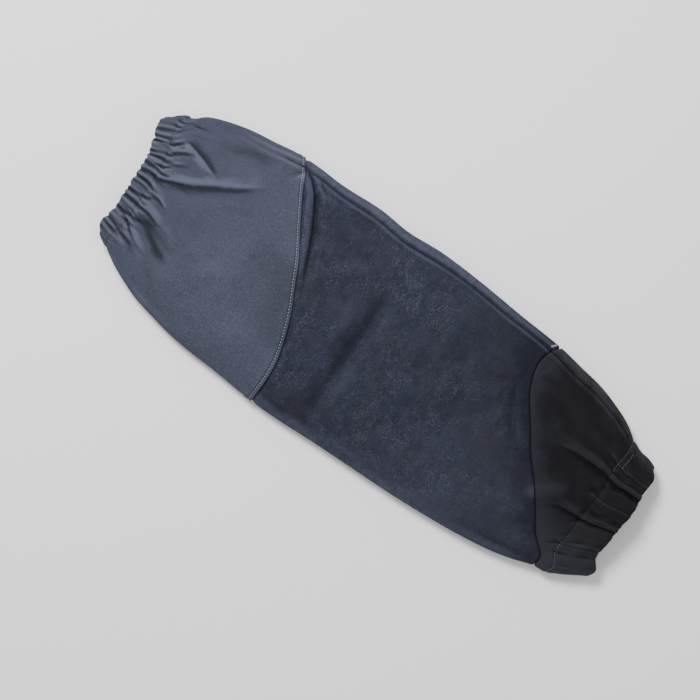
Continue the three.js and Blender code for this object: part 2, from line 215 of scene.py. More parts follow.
CREASES = (
    Crease(((-0.02, 0.52), (0.015, 0.558), (0.04, 0.579), (0.068, 0.609), (0.097, 0.657), (0.135, 0.711),
            (0.19, 0.8)), 2.9, 13, Raised.LEFT, 0.3, 1.4, (0.03, 0.6), 0.6, 0.6),
    Crease(((0.004, 0.835), (0.0145, 0.824), (0.034, 0.785), (0.056, 0.754), (0.076, 0.727), (0.1, 0.7)),
           2.1, 11, Raised.RIGHT, 0.3, 1.2, (0.3, 0.5), 0.7, 0.7),
    Crease(((0.006, 0.29), (0.04, 0.265), (0.0745, 0.228), (0.1, 0.215), (0.135, 0.205)),
           0.8, 14, Raised.RIGHT, 3.2, 7.5, (0.12, 0.5), 0.9, 3),
    Crease(((0.055, 0.24), (0.075, 0.19), (0.098, 0.11), (0.125, 0.02)), valley=2.0, width=10,
           fades=(0.45, 0.55)),
    Crease(((0.01, 0.31), (0.05, 0.32), (0.09, 0.29), (0.14, 0.27)), 0.5, 12, Raised.LEFT, 1.5,
           5.5, (0.3, 0.5), 0.9, 3),
    Crease(((0.004, 0.352), (0.03, 0.352), (0.062, 0.335)), 1.5, 7, Raised.LEFT, 0.4, 1.6,
           (0.1, 0.6), 0.7, 0.8),
    Crease(((0.0, 0.74), (0.022, 0.755), (0.05, 0.77)), 1.4, 5, Raised.LEFT, 0.3, 1.5,
           (0.1, 0.6)),
    Crease(((0.0, 0.665), (0.024, 0.672), (0.045, 0.69)), 1.3, 4, Raised.LEFT, 0.3, 1.5,
           (0.1, 0.6)),
    Crease(((0.0, 0.46), (0.03, 0.45), (0.06, 0.42)), 1.4, 5, Raised.LEFT, 0.3, 1.5,
           (0.1, 0.6)),
    Crease(((0.0, 0.16), (0.03, 0.15), (0.06, 0.11)), 0.8, 6, Raised.LEFT, 0.9, 3.5,
           (0.1, 0.6), 0.8, 2),
    Crease(((0.05, 0.85), (0.11, 0.9), (0.18, 0.9)), valley=0.9, width=8, fades=(0.4, 0.4)),
    Crease(((0.08, 0.72), (0.14, 0.8), (0.2, 0.78)), valley=-1.3, width=13, fades=(0.4, 0.4)),
    Crease(((0.235, 0.7), (0.252, 0.5), (0.262, 0.3), (0.27, 0.16)), valley=1.9, width=13,
           fades=(0.4, 0.3)),
    Crease(((0.14, 0.26), (0.18, 0.36), (0.21, 0.42)), valley=-0.8, width=14, fades=(0.4, 0.4)),
    Crease(((0.2197, 0.958), (0.24, 0.925), (0.2575, 0.886), (0.277, 0.815), (0.293, 0.748), (0.3085, 0.67),
            (0.3227, 0.597), (0.338, 0.52), (0.353, 0.43)),
           3.6, 7, Raised.RIGHT, 2.4, 2.4, (0.03, 0.5), 0.7, 0.9),
    Crease(((0.245, 0.968), (0.262, 0.93), (0.275, 0.9)), 1.3, 4, Raised.RIGHT, 0.5, 1.8,
           (0.2, 0.5)),
    Crease(((0.458, 0.82), (0.463, 0.66), (0.466, 0.5), (0.467, 0.34), (0.468, 0.2), (0.47, 0.0)), 1.4,
           17, Raised.RIGHT, 4.2, 11, (0.35, 0.22), 0.7, 6),
    Crease(((0.395, 0.85), (0.4, 0.65), (0.405, 0.4)), valley=-1.6, width=18, fades=(0.3, 0.4)),
    Crease(((0.545, 0.7), (0.56, 0.42), (0.575, 0.15)), valley=-1.4, width=20, fades=(0.4, 0.3)),
    Crease(((0.6, 0.85), (0.68, 0.6), (0.72, 0.3)), valley=2.0, width=16, fades=(0.4, 0.4)),
    Crease(((0.752, 0.8), (0.764, 0.7), (0.79, 0.58), (0.83, 0.44)), 1.0, 10, Raised.LEFT, 1.3,
           4, (0.3, 0.4), 0.8, 2.5),
    Crease(((0.872, 0.62), (0.895, 0.64), (0.925, 0.66), (0.957, 0.674), (0.98, 0.69), (1.02, 0.72)),
           3.8, 9, Raised.LEFT, 1.6, 3.2, (0.7, 0.02), 0.7, 0.9),
    Crease(((0.962, 0.735), (0.985, 0.74), (1.02, 0.755)), 2.4, 4, Raised.RIGHT, 0.8, 1.4,
           (0.3, 0.02)),
    Crease(((0.965, 0.8), (0.985, 0.8), (1.02, 0.81)), 1.4, 5, Raised.LEFT, 0.4, 1.4,
           (0.4, 0.02)),
    Crease(((0.925, 0.36), (0.955, 0.38), (0.985, 0.39), (1.02, 0.42)),
           3.0, 9, Raised.LEFT, 1.2, 3.0, (0.65, 0.02), 0.7, 0.9),
    Crease(((0.975, 0.2), (1.0, 0.21), (1.03, 0.22)), 1.2, 6, Raised.LEFT, 0.4, 2.0,
           (0.4, 0.05)),
    Crease(((0.97, 0.56), (0.99, 0.57), (1.03, 0.57)), 1.2, 5, Raised.RIGHT, 0.3, 2.0,
           (0.5, 0.03)),
    Crease(((0.82, 0.75), (0.87, 0.77), (0.92, 0.72)), valley=1.8, width=9, fades=(0.4, 0.4)),
    Crease(((0.87, 0.33), (0.93, 0.45), (0.96, 0.52)), valley=-2.2, width=10, fades=(0.4, 0.4)),
    Crease(((0.9, 0.87), (0.94, 0.85), (0.98, 0.86)), valley=1.4, width=6, fades=(0.4, 0.3)),
)


def smooth_curve(rows: Sequence[object], key: str, column: str, at: np.ndarray) -> np.ndarray:
    """Values of a table's column on a smooth curve through its rows.

    Args:
        rows: the table, in rising order of its key.
        key: field that holds the place of a row.
        column: field that holds the value.
        at: places to read.

    Returns:
        The value at each place, level beyond the table's ends.
    """
    keys = np.array([getattr(row, key) for row in rows])
    values = np.array([getattr(row, column) for row in rows])
    at = np.clip(at, keys[0], keys[-1])
    start = np.clip(np.searchsorted(keys, at, side="right") - 1, 0, len(keys) - 2)
    before, end, after = np.maximum(start - 1, 0), start + 1, np.minimum(start + 2, len(keys) - 1)
    span = keys[end] - keys[start]
    share = (at - keys[start]) / span
    leaving = span * (values[end] - values[before]) / (keys[end] - keys[before])
    arriving = span * (values[after] - values[start]) / (keys[after] - keys[start])
    square, cube = share**2, share**3
    return (
        (2 * cube - 3 * square + 1) * values[start]
        + (cube - 2 * square + share) * leaving
        + (3 * square - 2 * cube) * values[end]
        + (cube - square) * arriving
    )


def smoothstep(low: float, high: float, at: np.ndarray) -> np.ndarray:
    """Smooth rise from 0 at low to 1 at high."""
    share = np.clip((at - low) / (high - low), 0.0, 1.0)
    return share * share * (3.0 - 2.0 * share)


def bell(distance: np.ndarray, width: float) -> np.ndarray:
    """Smooth hump of height 1 at distance 0."""
    return np.exp(-((distance / width) ** 2))


@dataclass(frozen=True)
class Hump:
    """Smooth hump, or a valley where its height is below 0, at a place measured from some line."""

    height: float
    place: float
    width: float

    def at(self, distance: np.ndarray) -> np.ndarray:
        """Height at distances from that line."""
        return self.height * bell(distance - self.place, self.width)


@dataclass(frozen=True)
class Gathers:
    """Pleats round one cuff: rounded ridges with sharp uneven valleys between them.

    count: of valleys round the cuff. depth: from a valley to a ridge. reach: how far they run into the cloth.
    width: of a valley, as a share of the pitch. drift: how far a valley strays sideways, in pitches. seed: of
    the chance that makes each valley its own. calmest, deepest: depths of the shallowest and the deepest
    valley, as shares. throb, throb_wave: how much and how fast a valley's depth comes and goes along it.
    shortest, longer: reach of the shortest valley and how much chance adds to it, as shares. unevenness: how
    far a valley may start from its place, in pitches. puff: height of the ridges, as a share. falloff: power
    with which the gathers run out.
    """

    count: int
    depth: float
    reach: float
    width: float
    drift: float
    seed: int
    calmest: float = 0.45
    throb: float = 0.22
    deepest: float = 1.25
    throb_wave: float = 3.1 * MM
    shortest: float = 0.45
    longer: float = 1.5
    unevenness: float = 0.2
    puff: float = 0.45
    falloff: float = 1.3

    def height(self, distance: np.ndarray, column: np.ndarray, columns: int) -> np.ndarray:
        """Height of the pleats.

        Args:
            distance: from the casing's hem into the sleeve.
            column: place round the tube, in columns.
            columns: number of columns round the tube.

        Returns:
            Height above the smooth cloth at each point.
        """
        dice = np.random.default_rng(self.seed)
        depths = self.calmest + (self.deepest - self.calmest) * dice.uniform(0.0, 1.0, self.count)
        reaches = self.reach * (self.shortest + self.longer * dice.uniform(0.0, 1.0, self.count) ** 3)
        starts = np.arange(self.count) + 0.5 + dice.uniform(-self.unevenness, self.unevenness, self.count)
        drifts = dice.uniform(-self.drift, self.drift, self.count)
        turns = dice.uniform(0.0, 2 * np.pi, self.count)
        index = np.mod(column, columns) * self.count / columns
        stray = np.tanh(distance / (1.3 * self.reach))
        throb = distance / self.throb_wave
        distance = np.maximum(distance, 0.0)
        height = self.puff * np.exp(-((distance / self.reach) ** self.falloff))
        for depth, reach, start, drift, turn in zip(depths, reaches, starts, drifts, turns):
            aside = index - start - drift * stray
            aside = np.abs(np.mod(aside + self.count / 2, self.count) - self.count / 2)
            fade = (1 + self.throb * np.sin(throb + turn)) * np.exp(-((distance / reach) ** self.falloff))
            height = height - depth * np.exp(-aside / self.width) * fade
        return self.depth * height


@dataclass(frozen=True)
class SleeveForm:
    """Shape of the lying sleeve: a low crown over a flat underside, with gathers, creases and seams.

    The first sizes are the sleeve's own. upper_waist, wrist_waist: notches of the +Y edge, placed from the
    casings' stitches. seam_strip, seam_shoulder: what stands up outside and inside the closing seam.
    seam_start, seam_end: over which the closing seam rises and runs out beside the casings. gather_limit: how
    far gathers and folds are counted. high_fade, low_fade: shares round the top over which creases start at
    the +Y and the -Y edge. shade_reach: how far along the sleeve lies the cloth that a point's height is
    compared with. near_shade, long_shade, wide_shade: height differences that shade the cloth by its whole
    range. near_steps, wide_steps: fine columns compared.
    """

    length: float = 533 * MM
    body_width: float = 206 * MM
    body_height: float = 40 * MM
    upper_cuff_width: float = 118 * MM
    upper_cuff_height: float = 27 * MM
    wrist_cuff_width: float = 114 * MM
    wrist_cuff_height: float = 26 * MM
    side_fold_height: float = 9 * MM
    cotton_wall: float = 1.2 * MM
    leather_wall: float = 1.6 * MM
    wrist_wall: float = 1.2 * MM
    elastic_thickness: float = 1.2 * MM
    upper_elastic_width: float = 12.7 * MM
    wrist_elastic_width: float = 30 * MM
    clearance: float = 0.3 * MM
    casing_pinch: float = 1.6 * MM
    hem_tail: float = 3 * MM
    lap: float = 12 * MM
    lap_ramp: float = 6 * MM
    seam_allowance: float = 5 * MM
    seam_roll: float = 2.5 * MM
    side_seam_inset: float = 9.5 * MM
    side_seam_depth: float = 1.5 * MM
    side_seam_width: float = 0.8 * MM
    seam_strip: Hump = Hump(0.8 * MM, -4.2 * MM, 2.8 * MM)
    seam_shoulder: Hump = Hump(0.7 * MM, 2.2 * MM, 1.8 * MM)
    seam_start: tuple[float, float] = (10 * MM, 150 * MM)
    seam_end: float = 12 * MM
    edge_calm: float = 0.85
    crown_power: float = 2.2
    crown_bluntness: float = 0.62
    underside_turn: float = 0.2
    cuff_fold_share: float = 0.42
    slope_reach: float = 5 * MM
    bow_reach: float = 70 * MM
    columns: int = 60
    upper_end_x: float = -263.2 * MM
    midline_y: float = 0.7 * MM
    scallop_share: float = 0.6
    upper_waist: Hump = Hump(-2.8 * MM, 3 * MM, 5 * MM)
    wrist_waist: Hump = Hump(-1.6 * MM, 11 * MM, 7 * MM)
    stitch_valley: Hump = Hump(-0.65 * MM, 0.0, 1.1 * MM)
    casing_puff: float = 0.4 * MM
    gather_limit: float = 250 * MM
    fold_rise: float = 12 * MM
    high_fade: tuple[float, float] = (0.05, 0.11)
    low_fade: tuple[float, float] = (0.02, 0.08)
    shade_reach: float = 9 * MM
    near_shade: float = 2.2 * MM
    long_shade: float = 9 * MM
    wide_shade: float = 6 * MM
    near_steps: tuple[int, ...] = (-3, -2, 2, 3)
    wide_steps: tuple[int, ...] = (-9, -7, 7, 9)
    corner: float = 4.5 * MM
    upper_gathers: tuple[Gathers, ...] = (
        Gathers(32, 2.9 * MM, 10 * MM, 0.19, 0.6, 11, 0.6),
        Gathers(56, 2.4 * MM, 7 * MM, 0.2, 0.7, 37, 0.0, 0.6),
        Gathers(91, 1.0 * MM, 4 * MM, 0.25, 0.6, 3, 0.0, 0.6),
    )
    upper_folds: tuple[Gathers, ...] = (Gathers(17, 1.2 * MM, 30 * MM, 0.1, 0.5, 5, 0.0),)
    wrist_gathers: tuple[Gathers, ...] = (
        Gathers(22, 1.7 * MM, 7 * MM, 0.22, 1.0, 23, -0.3, 0.45),
        Gathers(37, 1.0 * MM, 5 * MM, 0.25, 0.9, 41, -0.2, 0.8),
    )
    wrist_folds: tuple[Gathers, ...] = (Gathers(7, 1.2 * MM, 26 * MM, 0.25, 0.3, 8, 0.0),)

    @property
    def channel(self) -> float:
        """Depth of the casings' channels."""
        return self.elastic_thickness + 2 * self.clearance

    @property
    def upper_casing(self) -> float:
        """Distance from the upper cuff's end to its casing stitches."""
        return self.cotton_wall + self.upper_elastic_width + 2 * self.clearance + self.casing_pinch

    @property
    def wrist_casing(self) -> float:
        """Distance from the wrist cuff's end to its casing stitches."""
        return self.wrist_wall + self.wrist_elastic_width + 2 * self.clearance + self.casing_pinch

    @property
    def wrist_stitches(self) -> float:
        """Distance from the upper cuff's end to the wrist casing's stitches."""
        return self.place_of(1.0)

    @property
    def free_length(self) -> float:
        """Length between the two rows of casing stitches."""
        return self.length - self.upper_casing - self.wrist_casing

    def place_of(self, station: np.ndarray | float) -> np.ndarray | float:
        """Distance of a station of the outline from the upper cuff's end."""
        return self.upper_casing + station * self.free_length

    def share(self, column: str, place: np.ndarray) -> np.ndarray:
        """One share of the outline at distances from the upper cuff's end."""
        value = smooth_curve(OUTLINE, "station", column, (place - self.upper_casing) / self.free_length)
        into_upper = np.clip(1.0 - place / self.upper_casing, 0.0, None)
        into_wrist = np.clip((place - self.wrist_stitches) / self.wrist_casing, 0.0, None)
        value = value + into_upper * (getattr(UPPER_END, column) - getattr(OUTLINE[0], column))
        return value + into_wrist * (getattr(WRIST_END, column) - getattr(OUTLINE[-1], column))

    def spread(self, column: np.ndarray) -> np.ndarray:
        """Place of a column across the sleeve, from -1 at the -Y edge to 1 at the +Y edge."""
        half = self.columns / 2
        column = np.mod(column, self.columns)
        turned = np.minimum(column, self.columns - column)
        seam = 1.0 - self.side_seam_inset / (self.body_width / 2)
        return np.interp(turned, [0.0, 2.0, half - 2.0, half], [1.0, seam, -seam, -1.0])

    def across(self, column: np.ndarray) -> np.ndarray:
        """Share across the sleeve of a column, from 0 at the -Y edge to 1 at the +Y edge."""
        return (1.0 + self.spread(column)) / 2.0

    def bow(self, place: np.ndarray, across: np.ndarray) -> np.ndarray:
        """How far a point is shifted along the sleeve where a cuff's end stands out of line."""
        near_upper = 1.0 - smoothstep(self.upper_casing, self.upper_casing + self.bow_reach, place)
        near_wrist = smoothstep(self.wrist_stitches - self.bow_reach, self.wrist_stitches, place)
        upper = self.upper_cuff_width * smooth_curve(CUFF_BOW, "across", "upper", across)
        wrist = self.wrist_cuff_width * smooth_curve(CUFF_BOW, "across", "wrist", across)
        return near_upper * upper + near_wrist * wrist

    def edges(self, place: np.ndarray) -> tuple[np.ndarray, np.ndarray, np.ndarray, np.ndarray]:
        """The sleeve's +Y edge, -Y edge, crown height and side fold height at a distance along it."""
        mix = np.clip((place - self.upper_casing) / self.free_length, 0.0, 1.0)
        cuff_half = (self.upper_cuff_width * (1 - mix) + self.wrist_cuff_width * mix) / 2
        cuff_height = self.upper_cuff_height * (1 - mix) + self.wrist_cuff_height * mix
        body_half = self.body_width / 2
        high = cuff_half + (body_half - cuff_half) * self.share("upper", place)
        low = -(cuff_half + (body_half - cuff_half) * self.share("lower", place))
        high = high + self.upper_waist.at(place - self.upper_casing)
        high = high + self.wrist_waist.at(place - self.wrist_stitches)
        loft = self.share("loft", place)
        crown = cuff_height + (self.body_height - cuff_height) * loft
        cuff_fold = cuff_height * self.cuff_fold_share
        return high, low, crown, cuff_fold + (self.side_fold_height - cuff_fold) * loft

    def smooth_point(self, place: np.ndarray, column: np.ndarray) -> np.ndarray:
        """Point of the smooth tube, before gathers and creases."""
        high, low, crown, fold = self.edges(place)
        column = np.mod(column, self.columns)
        out = np.abs(self.spread(column))
        across = self.across(column)
        dome = fold + (crown - fold) * np.maximum(1 - out**self.crown_power, 0.0) ** self.crown_bluntness
        turn = np.minimum(1.0, np.sqrt((1 - out) / self.underside_turn))
        z = np.where(column <= self.columns / 2, dome, fold * (1 - turn))
        return np.stack([place + self.bow(place, across), low + (high - low) * across, z], axis=-1)

    def outward(self, place: np.ndarray, column: np.ndarray) -> np.ndarray:
        """Outward direction of the smooth tube. The layers of a casing share one direction."""
        middle = np.where(place <= self.upper_casing + self.hem_tail, self.upper_casing / 2, place)
        wrist_hem = self.wrist_stitches - self.hem_tail
        middle = np.where(place >= wrist_hem, self.wrist_stitches + self.wrist_casing / 2, middle)
        around = self.smooth_point(middle, column + 1) - self.smooth_point(middle, column - 1)
        reach = self.slope_reach
        along = self.smooth_point(middle + reach, column) - self.smooth_point(middle - reach, column)
        outward = np.cross(around, along)
        return outward / np.linalg.norm(outward, axis=-1, keepdims=True)

    def crease_height(self, crease: Crease, points: np.ndarray) -> np.ndarray:
        """Height that one crease adds at points of the top side."""
        stations = np.array([station for station, _ in crease.route])
        shares = np.array([share for _, share in crease.route])
        x = np.asarray(self.place_of(stations))
        high, low, _, _ = self.edges(x)
        route = np.stack([x, low + (high - low) * shares], axis=-1)
        runs = np.linalg.norm(np.diff(route, axis=0), axis=-1)
        starts = np.concatenate([[0.0], np.cumsum(runs)])
        nearest = np.full(points.shape[:-1], np.inf)
        signed = np.zeros(points.shape[:-1])
        along = np.zeros(points.shape[:-1])
        for index, run in enumerate(runs):
            direction = (route[index + 1] - route[index]) / run
            offset = points[..., :2] - route[index]
            reach = np.clip(offset @ direction, 0.0, run)
            gap = offset - reach[..., None] * direction
            distance = np.linalg.norm(gap, axis=-1)
            side = np.sign(direction[0] * offset[..., 1] - direction[1] * offset[..., 0])
            closer = distance < nearest
            nearest = np.where(closer, distance, nearest)
            signed = np.where(closer, side * distance, signed)
            along = np.where(closer, (starts[index] + reach) / starts[-1], along)
        return crease.height(signed, nearest, along)

    def pleats(self, place: np.ndarray, column: np.ndarray) -> np.ndarray:
        """Height of both cuffs' gathers and of the longer folds that run on from them."""
        calm = 1 - self.edge_calm * np.abs(self.spread(column)) ** 4
        from_upper = place - self.upper_casing - self.hem_tail
        from_wrist = self.wrist_stitches - self.hem_tail - place
        height = np.zeros(np.shape(place))
        for distance, short, long in (
            (from_upper, self.upper_gathers, self.upper_folds),
            (from_wrist, self.wrist_gathers, self.wrist_folds),
        ):
            near = distance < self.gather_limit
            swell = smoothstep(0.0, self.fold_rise, distance)
            for gathers in short:
                height += np.where(near, gathers.height(distance, column, self.columns), 0.0)
            for gathers in long:
                height += np.where(near, swell * gathers.height(distance, column, self.columns), 0.0)
        return calm * height

    def relief(self, place: np.ndarray, column: np.ndarray) -> np.ndarray:
        """How far the cloth stands out of the smooth tube."""
        column = np.mod(column, self.columns)
        loose = np.clip(place, self.upper_casing + self.hem_tail, self.wrist_stitches - self.hem_tail)
        height = self.pleats(place, column)
        share = column / (self.columns / 2)
        top = smoothstep(*self.high_fade, share) * smoothstep(*self.low_fade, 1 - share)
        top = np.where(share < 1.0, top, 0.0)
        points = self.smooth_point(loose, column)
        for crease in CREASES:
            height += top * self.crease_height(crease, points)
        height += self.stitch_relief(place) + self.side_seam_relief(place, column)
        return height + top * self.undulation(points)

    def shade(self, place: np.ndarray, column: np.ndarray) -> np.ndarray:
        """How far points on a grid lie below (0) or above (1) the cloth beside them, 0.5 on level cloth."""
        height = self.relief(place, column)
        beside = sum(np.roll(height, step, axis=1) for step in self.near_steps) / len(self.near_steps)
        reach = self.shade_reach
        before, after = self.relief(place - reach, column), self.relief(place + reach, column)
        free = smoothstep(self.upper_casing, self.upper_casing + 2 * reach, place)
        free = free * (1 - smoothstep(self.wrist_stitches - 2 * reach, self.wrist_stitches, place))
        wide = sum(np.roll(height, step, axis=1) for step in self.wide_steps) / len(self.wide_steps)
        rise = (height - beside) / self.near_shade + free * (height - (before + after) / 2) / self.long_shade
        rise = rise + free * (height - wide) / self.wide_shade
        return np.clip(0.5 + rise, 0.0, 1.0)

    def stitch_relief(self, place: np.ndarray) -> np.ndarray:
        """Valley along each row of casing stitches, and the cloth puffed between it and the folded end."""
        height = np.zeros(np.shape(place))
        for stitches, width in (
            (self.upper_casing, -self.upper_casing),
            (self.wrist_stitches, self.wrist_casing),
        ):
            height = height + self.stitch_valley.at(place - stitches)
            share = np.clip((place - stitches) / width, 0.0, 1.0)
            height = height + self.casing_puff * np.sin(np.pi * share) ** 0.7
        return height

    def scallops(self, place: np.ndarray, column: np.ndarray) -> np.ndarray:
        """Shift along the sleeve that lets the ridges of the gathers stand out at the folded ends."""
        none = np.zeros(np.shape(place))
        upper = sum(gathers.height(none, column, self.columns) for gathers in self.upper_gathers[:2])
        wrist = sum(gathers.height(none, column, self.columns) for gathers in self.wrist_gathers[:2])
        near_upper = np.clip(1.0 - place / self.upper_casing, 0.0, 1.0) ** 1.5
        near_wrist = np.clip((place - self.wrist_stitches) / self.wrist_casing, 0.0, 1.0) ** 2
        corner = self.corner * smoothstep(0.72, 1.0, np.abs(self.spread(column))) ** 2
        ridges = self.scallop_share * (near_wrist * wrist - near_upper * upper)
        return ridges + corner * (near_upper - near_wrist * (self.spread(column) > 0))

    def side_seam_relief(self, place: np.ndarray, column: np.ndarray) -> np.ndarray:
        """Valley of the closing seam, with the strip outside it rolled up."""
        inset = (1.0 - self.spread(column)) * self.body_width / 2
        top = column < self.columns / 2
        wander = 0.9 * MM * np.sin(place / (31 * MM)) + 0.5 * MM * np.sin(place / (13 * MM) + 1.0)
        distance = inset - self.side_seam_inset - wander
        start, full = self.seam_start
        body = smoothstep(self.upper_casing + start, self.upper_casing + full, place)
        body = body * (1 - smoothstep(self.wrist_stitches - self.seam_end, self.wrist_stitches, place))
        valley = -self.side_seam_depth * np.exp(-np.abs(distance) / self.side_seam_width)
        height = valley + self.seam_strip.at(distance) + self.seam_shoulder.at(distance)
        return np.where(top, body * height, 0.0)

    @staticmethod
    def undulation(points: np.ndarray) -> np.ndarray:
        """Slight swells of cloth and leather that lie loose, away from any crease."""
        x, y = points[..., 0], points[..., 1]
        return sum(
            swell.height * MM * np.sin(x / (swell.run * MM) + y / (swell.rise * MM) + swell.turn)
            for swell in SWELLS
        )

    def wall_point(self, place: np.ndarray, column: np.ndarray, depth: np.ndarray | float) -> np.ndarray:
        """Point of a wall at a depth below its outer face, in the row's frame.

        Args:
            place: distance from the upper cuff's end.
            column: place round the tube, in columns.
            depth: below the outer face; below 0 stands proud of it.

        Returns:
            The points. The underside never sinks below the ground.
        """
        outward = self.outward(place, column)
        point = self.smooth_point(place, column) + outward * self.relief(place, column)[..., None]
        point[..., 2] = np.maximum(point[..., 2], 0.0)
        point = point - outward * np.broadcast_to(depth, place.shape)[..., None]
        point[..., 2] = np.maximum(point[..., 2], 0.0)
        point[..., 0] += self.scallops(place, column)
        return point + np.array([self.upper_end_x, self.midline_y, 0.0])

    def leather_seam(self, across: np.ndarray) -> np.ndarray:
        """Line of the cotton's edge over the leather."""
        return np.asarray(self.place_of(smooth_curve(SLANTED_SEAMS, "across", "leather", across)))

    def wrist_seam(self, across: np.ndarray) -> np.ndarray:
        """Line of the seam between the leather and the wrist cloth."""
        return np.asarray(self.place_of(smooth_curve(SLANTED_SEAMS, "across", "wrist", across)))

    def girth(self) -> float:
        """Length round the smooth tube where it is widest. Every panel was cut to this width."""
        column = self.fine_columns()
        widest = max(OUTLINE, key=lambda row: row.upper + row.lower)
        ring = self.smooth_point(np.full(column.shape, self.place_of(widest.station)), column)
        return float(np.sum(np.linalg.norm(ring - np.roll(ring, 1, axis=0), axis=-1)))

    def cut(self, start: Line, end: Line, folded_in: float) -> tuple[tuple[float, float], float]:
        """Size that a panel was cut to, before the elastic gathered it.

        Args:
            start: line across the sleeve where the panel begins.
            end: line where it ends.
            folded_in: length of the panel turned in beyond those lines.

        Returns:
            The cut's width and longest run along the arm, and its flat area between the slanted seams.
        """
        across = self.across(np.linspace(0.0, self.columns, 240, endpoint=False))
        run = end(across) - start(across) + folded_in
        return (self.girth(), float(run.max())), self.girth() * float(run.mean())

    def fine_columns(self) -> np.ndarray:
        """Places of the fine columns round the tube, closer together at the two side folds."""
        tip = 2.0 * (np.arange(12) / 12.0) ** 1.8
        face = np.linspace(2.0, self.columns / 2 - 2.0, 145)
        half = np.concatenate([tip, face, (self.columns / 2 - tip[:0:-1])])
        return np.concatenate([half, self.columns / 2 + half])


@dataclass
class Profile:
    """Closed profile of a wall, led once round the tube: rows of (distance along, depth below the face)."""

    form: SleeveForm
    places: list[np.ndarray] = field(default_factory=list)
    depths: list[np.ndarray] = field(default_factory=list)

    def add(self, line: Line | float, shift: float, depth: float | np.ndarray) -> None:
        """Adds one row at a line round the tube, moved along the sleeve, at a depth."""
        across = self.form.across(self.form.fine_columns())
        place = line(across) if callable(line) else np.full(across.shape, line)
        self.places.append(place + shift)
        self.depths.append(np.broadcast_to(depth, across.shape))

    def sweep(self, start: Line, end: Line, shares: Sequence[float],
              depth: Callable[[np.ndarray], np.ndarray]) -> None:
        """Adds rows between two lines.

        Args:
            start: line of share 0.
            end: line of share 1.
            shares: share of the way for each row.
            depth: gives the depth from a row's distances along the sleeve.
        """
        across = self.form.across(self.form.fine_columns())
        for share in shares:
            place = start(across) * (1 - share) + end(across) * share
            self.places.append(place)
            self.depths.append(np.broadcast_to(depth(place), across.shape))


def steps(count: int, first: int = 1, last: int | None = None) -> np.ndarray:
    """Even shares from 0 to 1, from the one numbered first up to last. Share 0 is left out by default."""
    return np.linspace(0.0, 1.0, count)[first:last]


def fixed(depth: float) -> Callable[[np.ndarray], np.ndarray]:
    """Depth function of a level wall."""
    return lambda place: np.full(place.shape, depth)


def shifted(line: Line, distance: float) -> Line:
    """A line moved along the sleeve by a distance."""
    return lambda across: line(across) + distance


def level(place: float) -> Line:
    """Line straight across the sleeve at one distance."""
    return lambda across: np.full(across.shape, place)


def add_object(name: str, data: bpy.types.ID) -> bpy.types.Object:
    """Puts an object with a mesh, a light or a camera into the scene."""
    added = bpy.data.objects.new(name, data)
    bpy.context.scene.collection.objects.link(added)
    return added


def deselect_all() -> None:
    """Clears the selection, so that an operator's new object is the only one selected."""
    for chosen in bpy.context.selected_objects:
        chosen.select_set(False)


def tube_mesh(name: str, profile: Profile, seam: Line) -> bpy.types.Object:
    """Makes the closed wall that a profile sweeps round the sleeve, with its cloth coordinates.

    Args:
        name: of the object and its mesh.
        profile: closed profile, outer face first, running along +X.
        seam: line of the seam from which the shade-and-wear attribute tells the distance.

    Returns:
        The new object. Its UV map holds metres of cloth, round the tube and along it.
    """
    form = profile.form
    columns = form.fine_columns()
    places = np.stack(profile.places)
    grid = np.broadcast_to(columns, places.shape)
    points = form.wall_point(places, grid, np.stack(profile.depths)).reshape(-1, 3)
    rows, count = places.shape
    row, col = (index.ravel() for index in np.meshgrid(np.arange(rows), np.arange(count), indexing="ij"))
    next_row, next_col = (row + 1) % rows, (col + 1) % count
    faces = np.stack([row * count + col, row * count + next_col, next_row * count + next_col,
                      next_row * count + col], axis=-1)
    mesh = bpy.data.meshes.new(name)
    mesh.vertices.add(len(points))
    mesh.vertices.foreach_set("co", points.ravel())
    mesh.loops.add(faces.size)
    mesh.loops.foreach_set("vertex_index", faces.ravel())
    mesh.polygons.add(len(faces))
    mesh.polygons.foreach_set("loop_start", np.arange(0, faces.size, 4))
    mesh.polygons.foreach_set("loop_total", np.full(len(faces), 4))
    round_cloth = 2 * form.body_width / form.columns
    wide = np.append(columns, form.columns)
    across = np.stack([wide[col], wide[col + 1], wide[col + 1], wide[col]], axis=-1) * round_cloth
    along = np.stack([places[row, col], places[row, next_col], places[next_row, next_col],
                      places[next_row, col]], axis=-1)
    # Height against the cloth around, for painted shade and highlight; nearness to a side fold; way past the
    # seam
    shade_and_wear = np.stack([form.shade(places, grid), np.abs(form.spread(grid)), places - seam(form.across(grid))],
                    axis=-1)
    mesh.attributes.new(SHADE_AND_WEAR, "FLOAT_VECTOR", "POINT").data.foreach_set("vector", shade_and_wear.ravel())
    layer = mesh.uv_layers.new(name=CLOTH_UV)
    layer.data.foreach_set("uv", np.stack([across, along], axis=-1).ravel())
    mesh.polygons.foreach_set("use_smooth", np.full(len(faces), True))
    mesh.update()
    mesh.validate()
    return add_object(name, mesh)


def srgb(code: str) -> tuple[float, float, float, float]:
    """Linear colour of a hex code such as #4b4f5f."""
    parts = [int(code[index:index + 2], 16) / 255 for index in (1, 3, 5)]
    linear = [part / 12.92 if part <= 0.04045 else ((part + 0.055) / 1.055) ** 2.4 for part in parts]
    return linear[0], linear[1], linear[2], 1.0


def feed(socket: bpy.types.NodeSocket, value: object) -> None:
    """Links a socket to another one, or sets it to a plain value."""
    if isinstance(value, bpy.types.NodeSocket):
        value.id_data.links.new(value, socket)
    else:
        socket.default_value = value


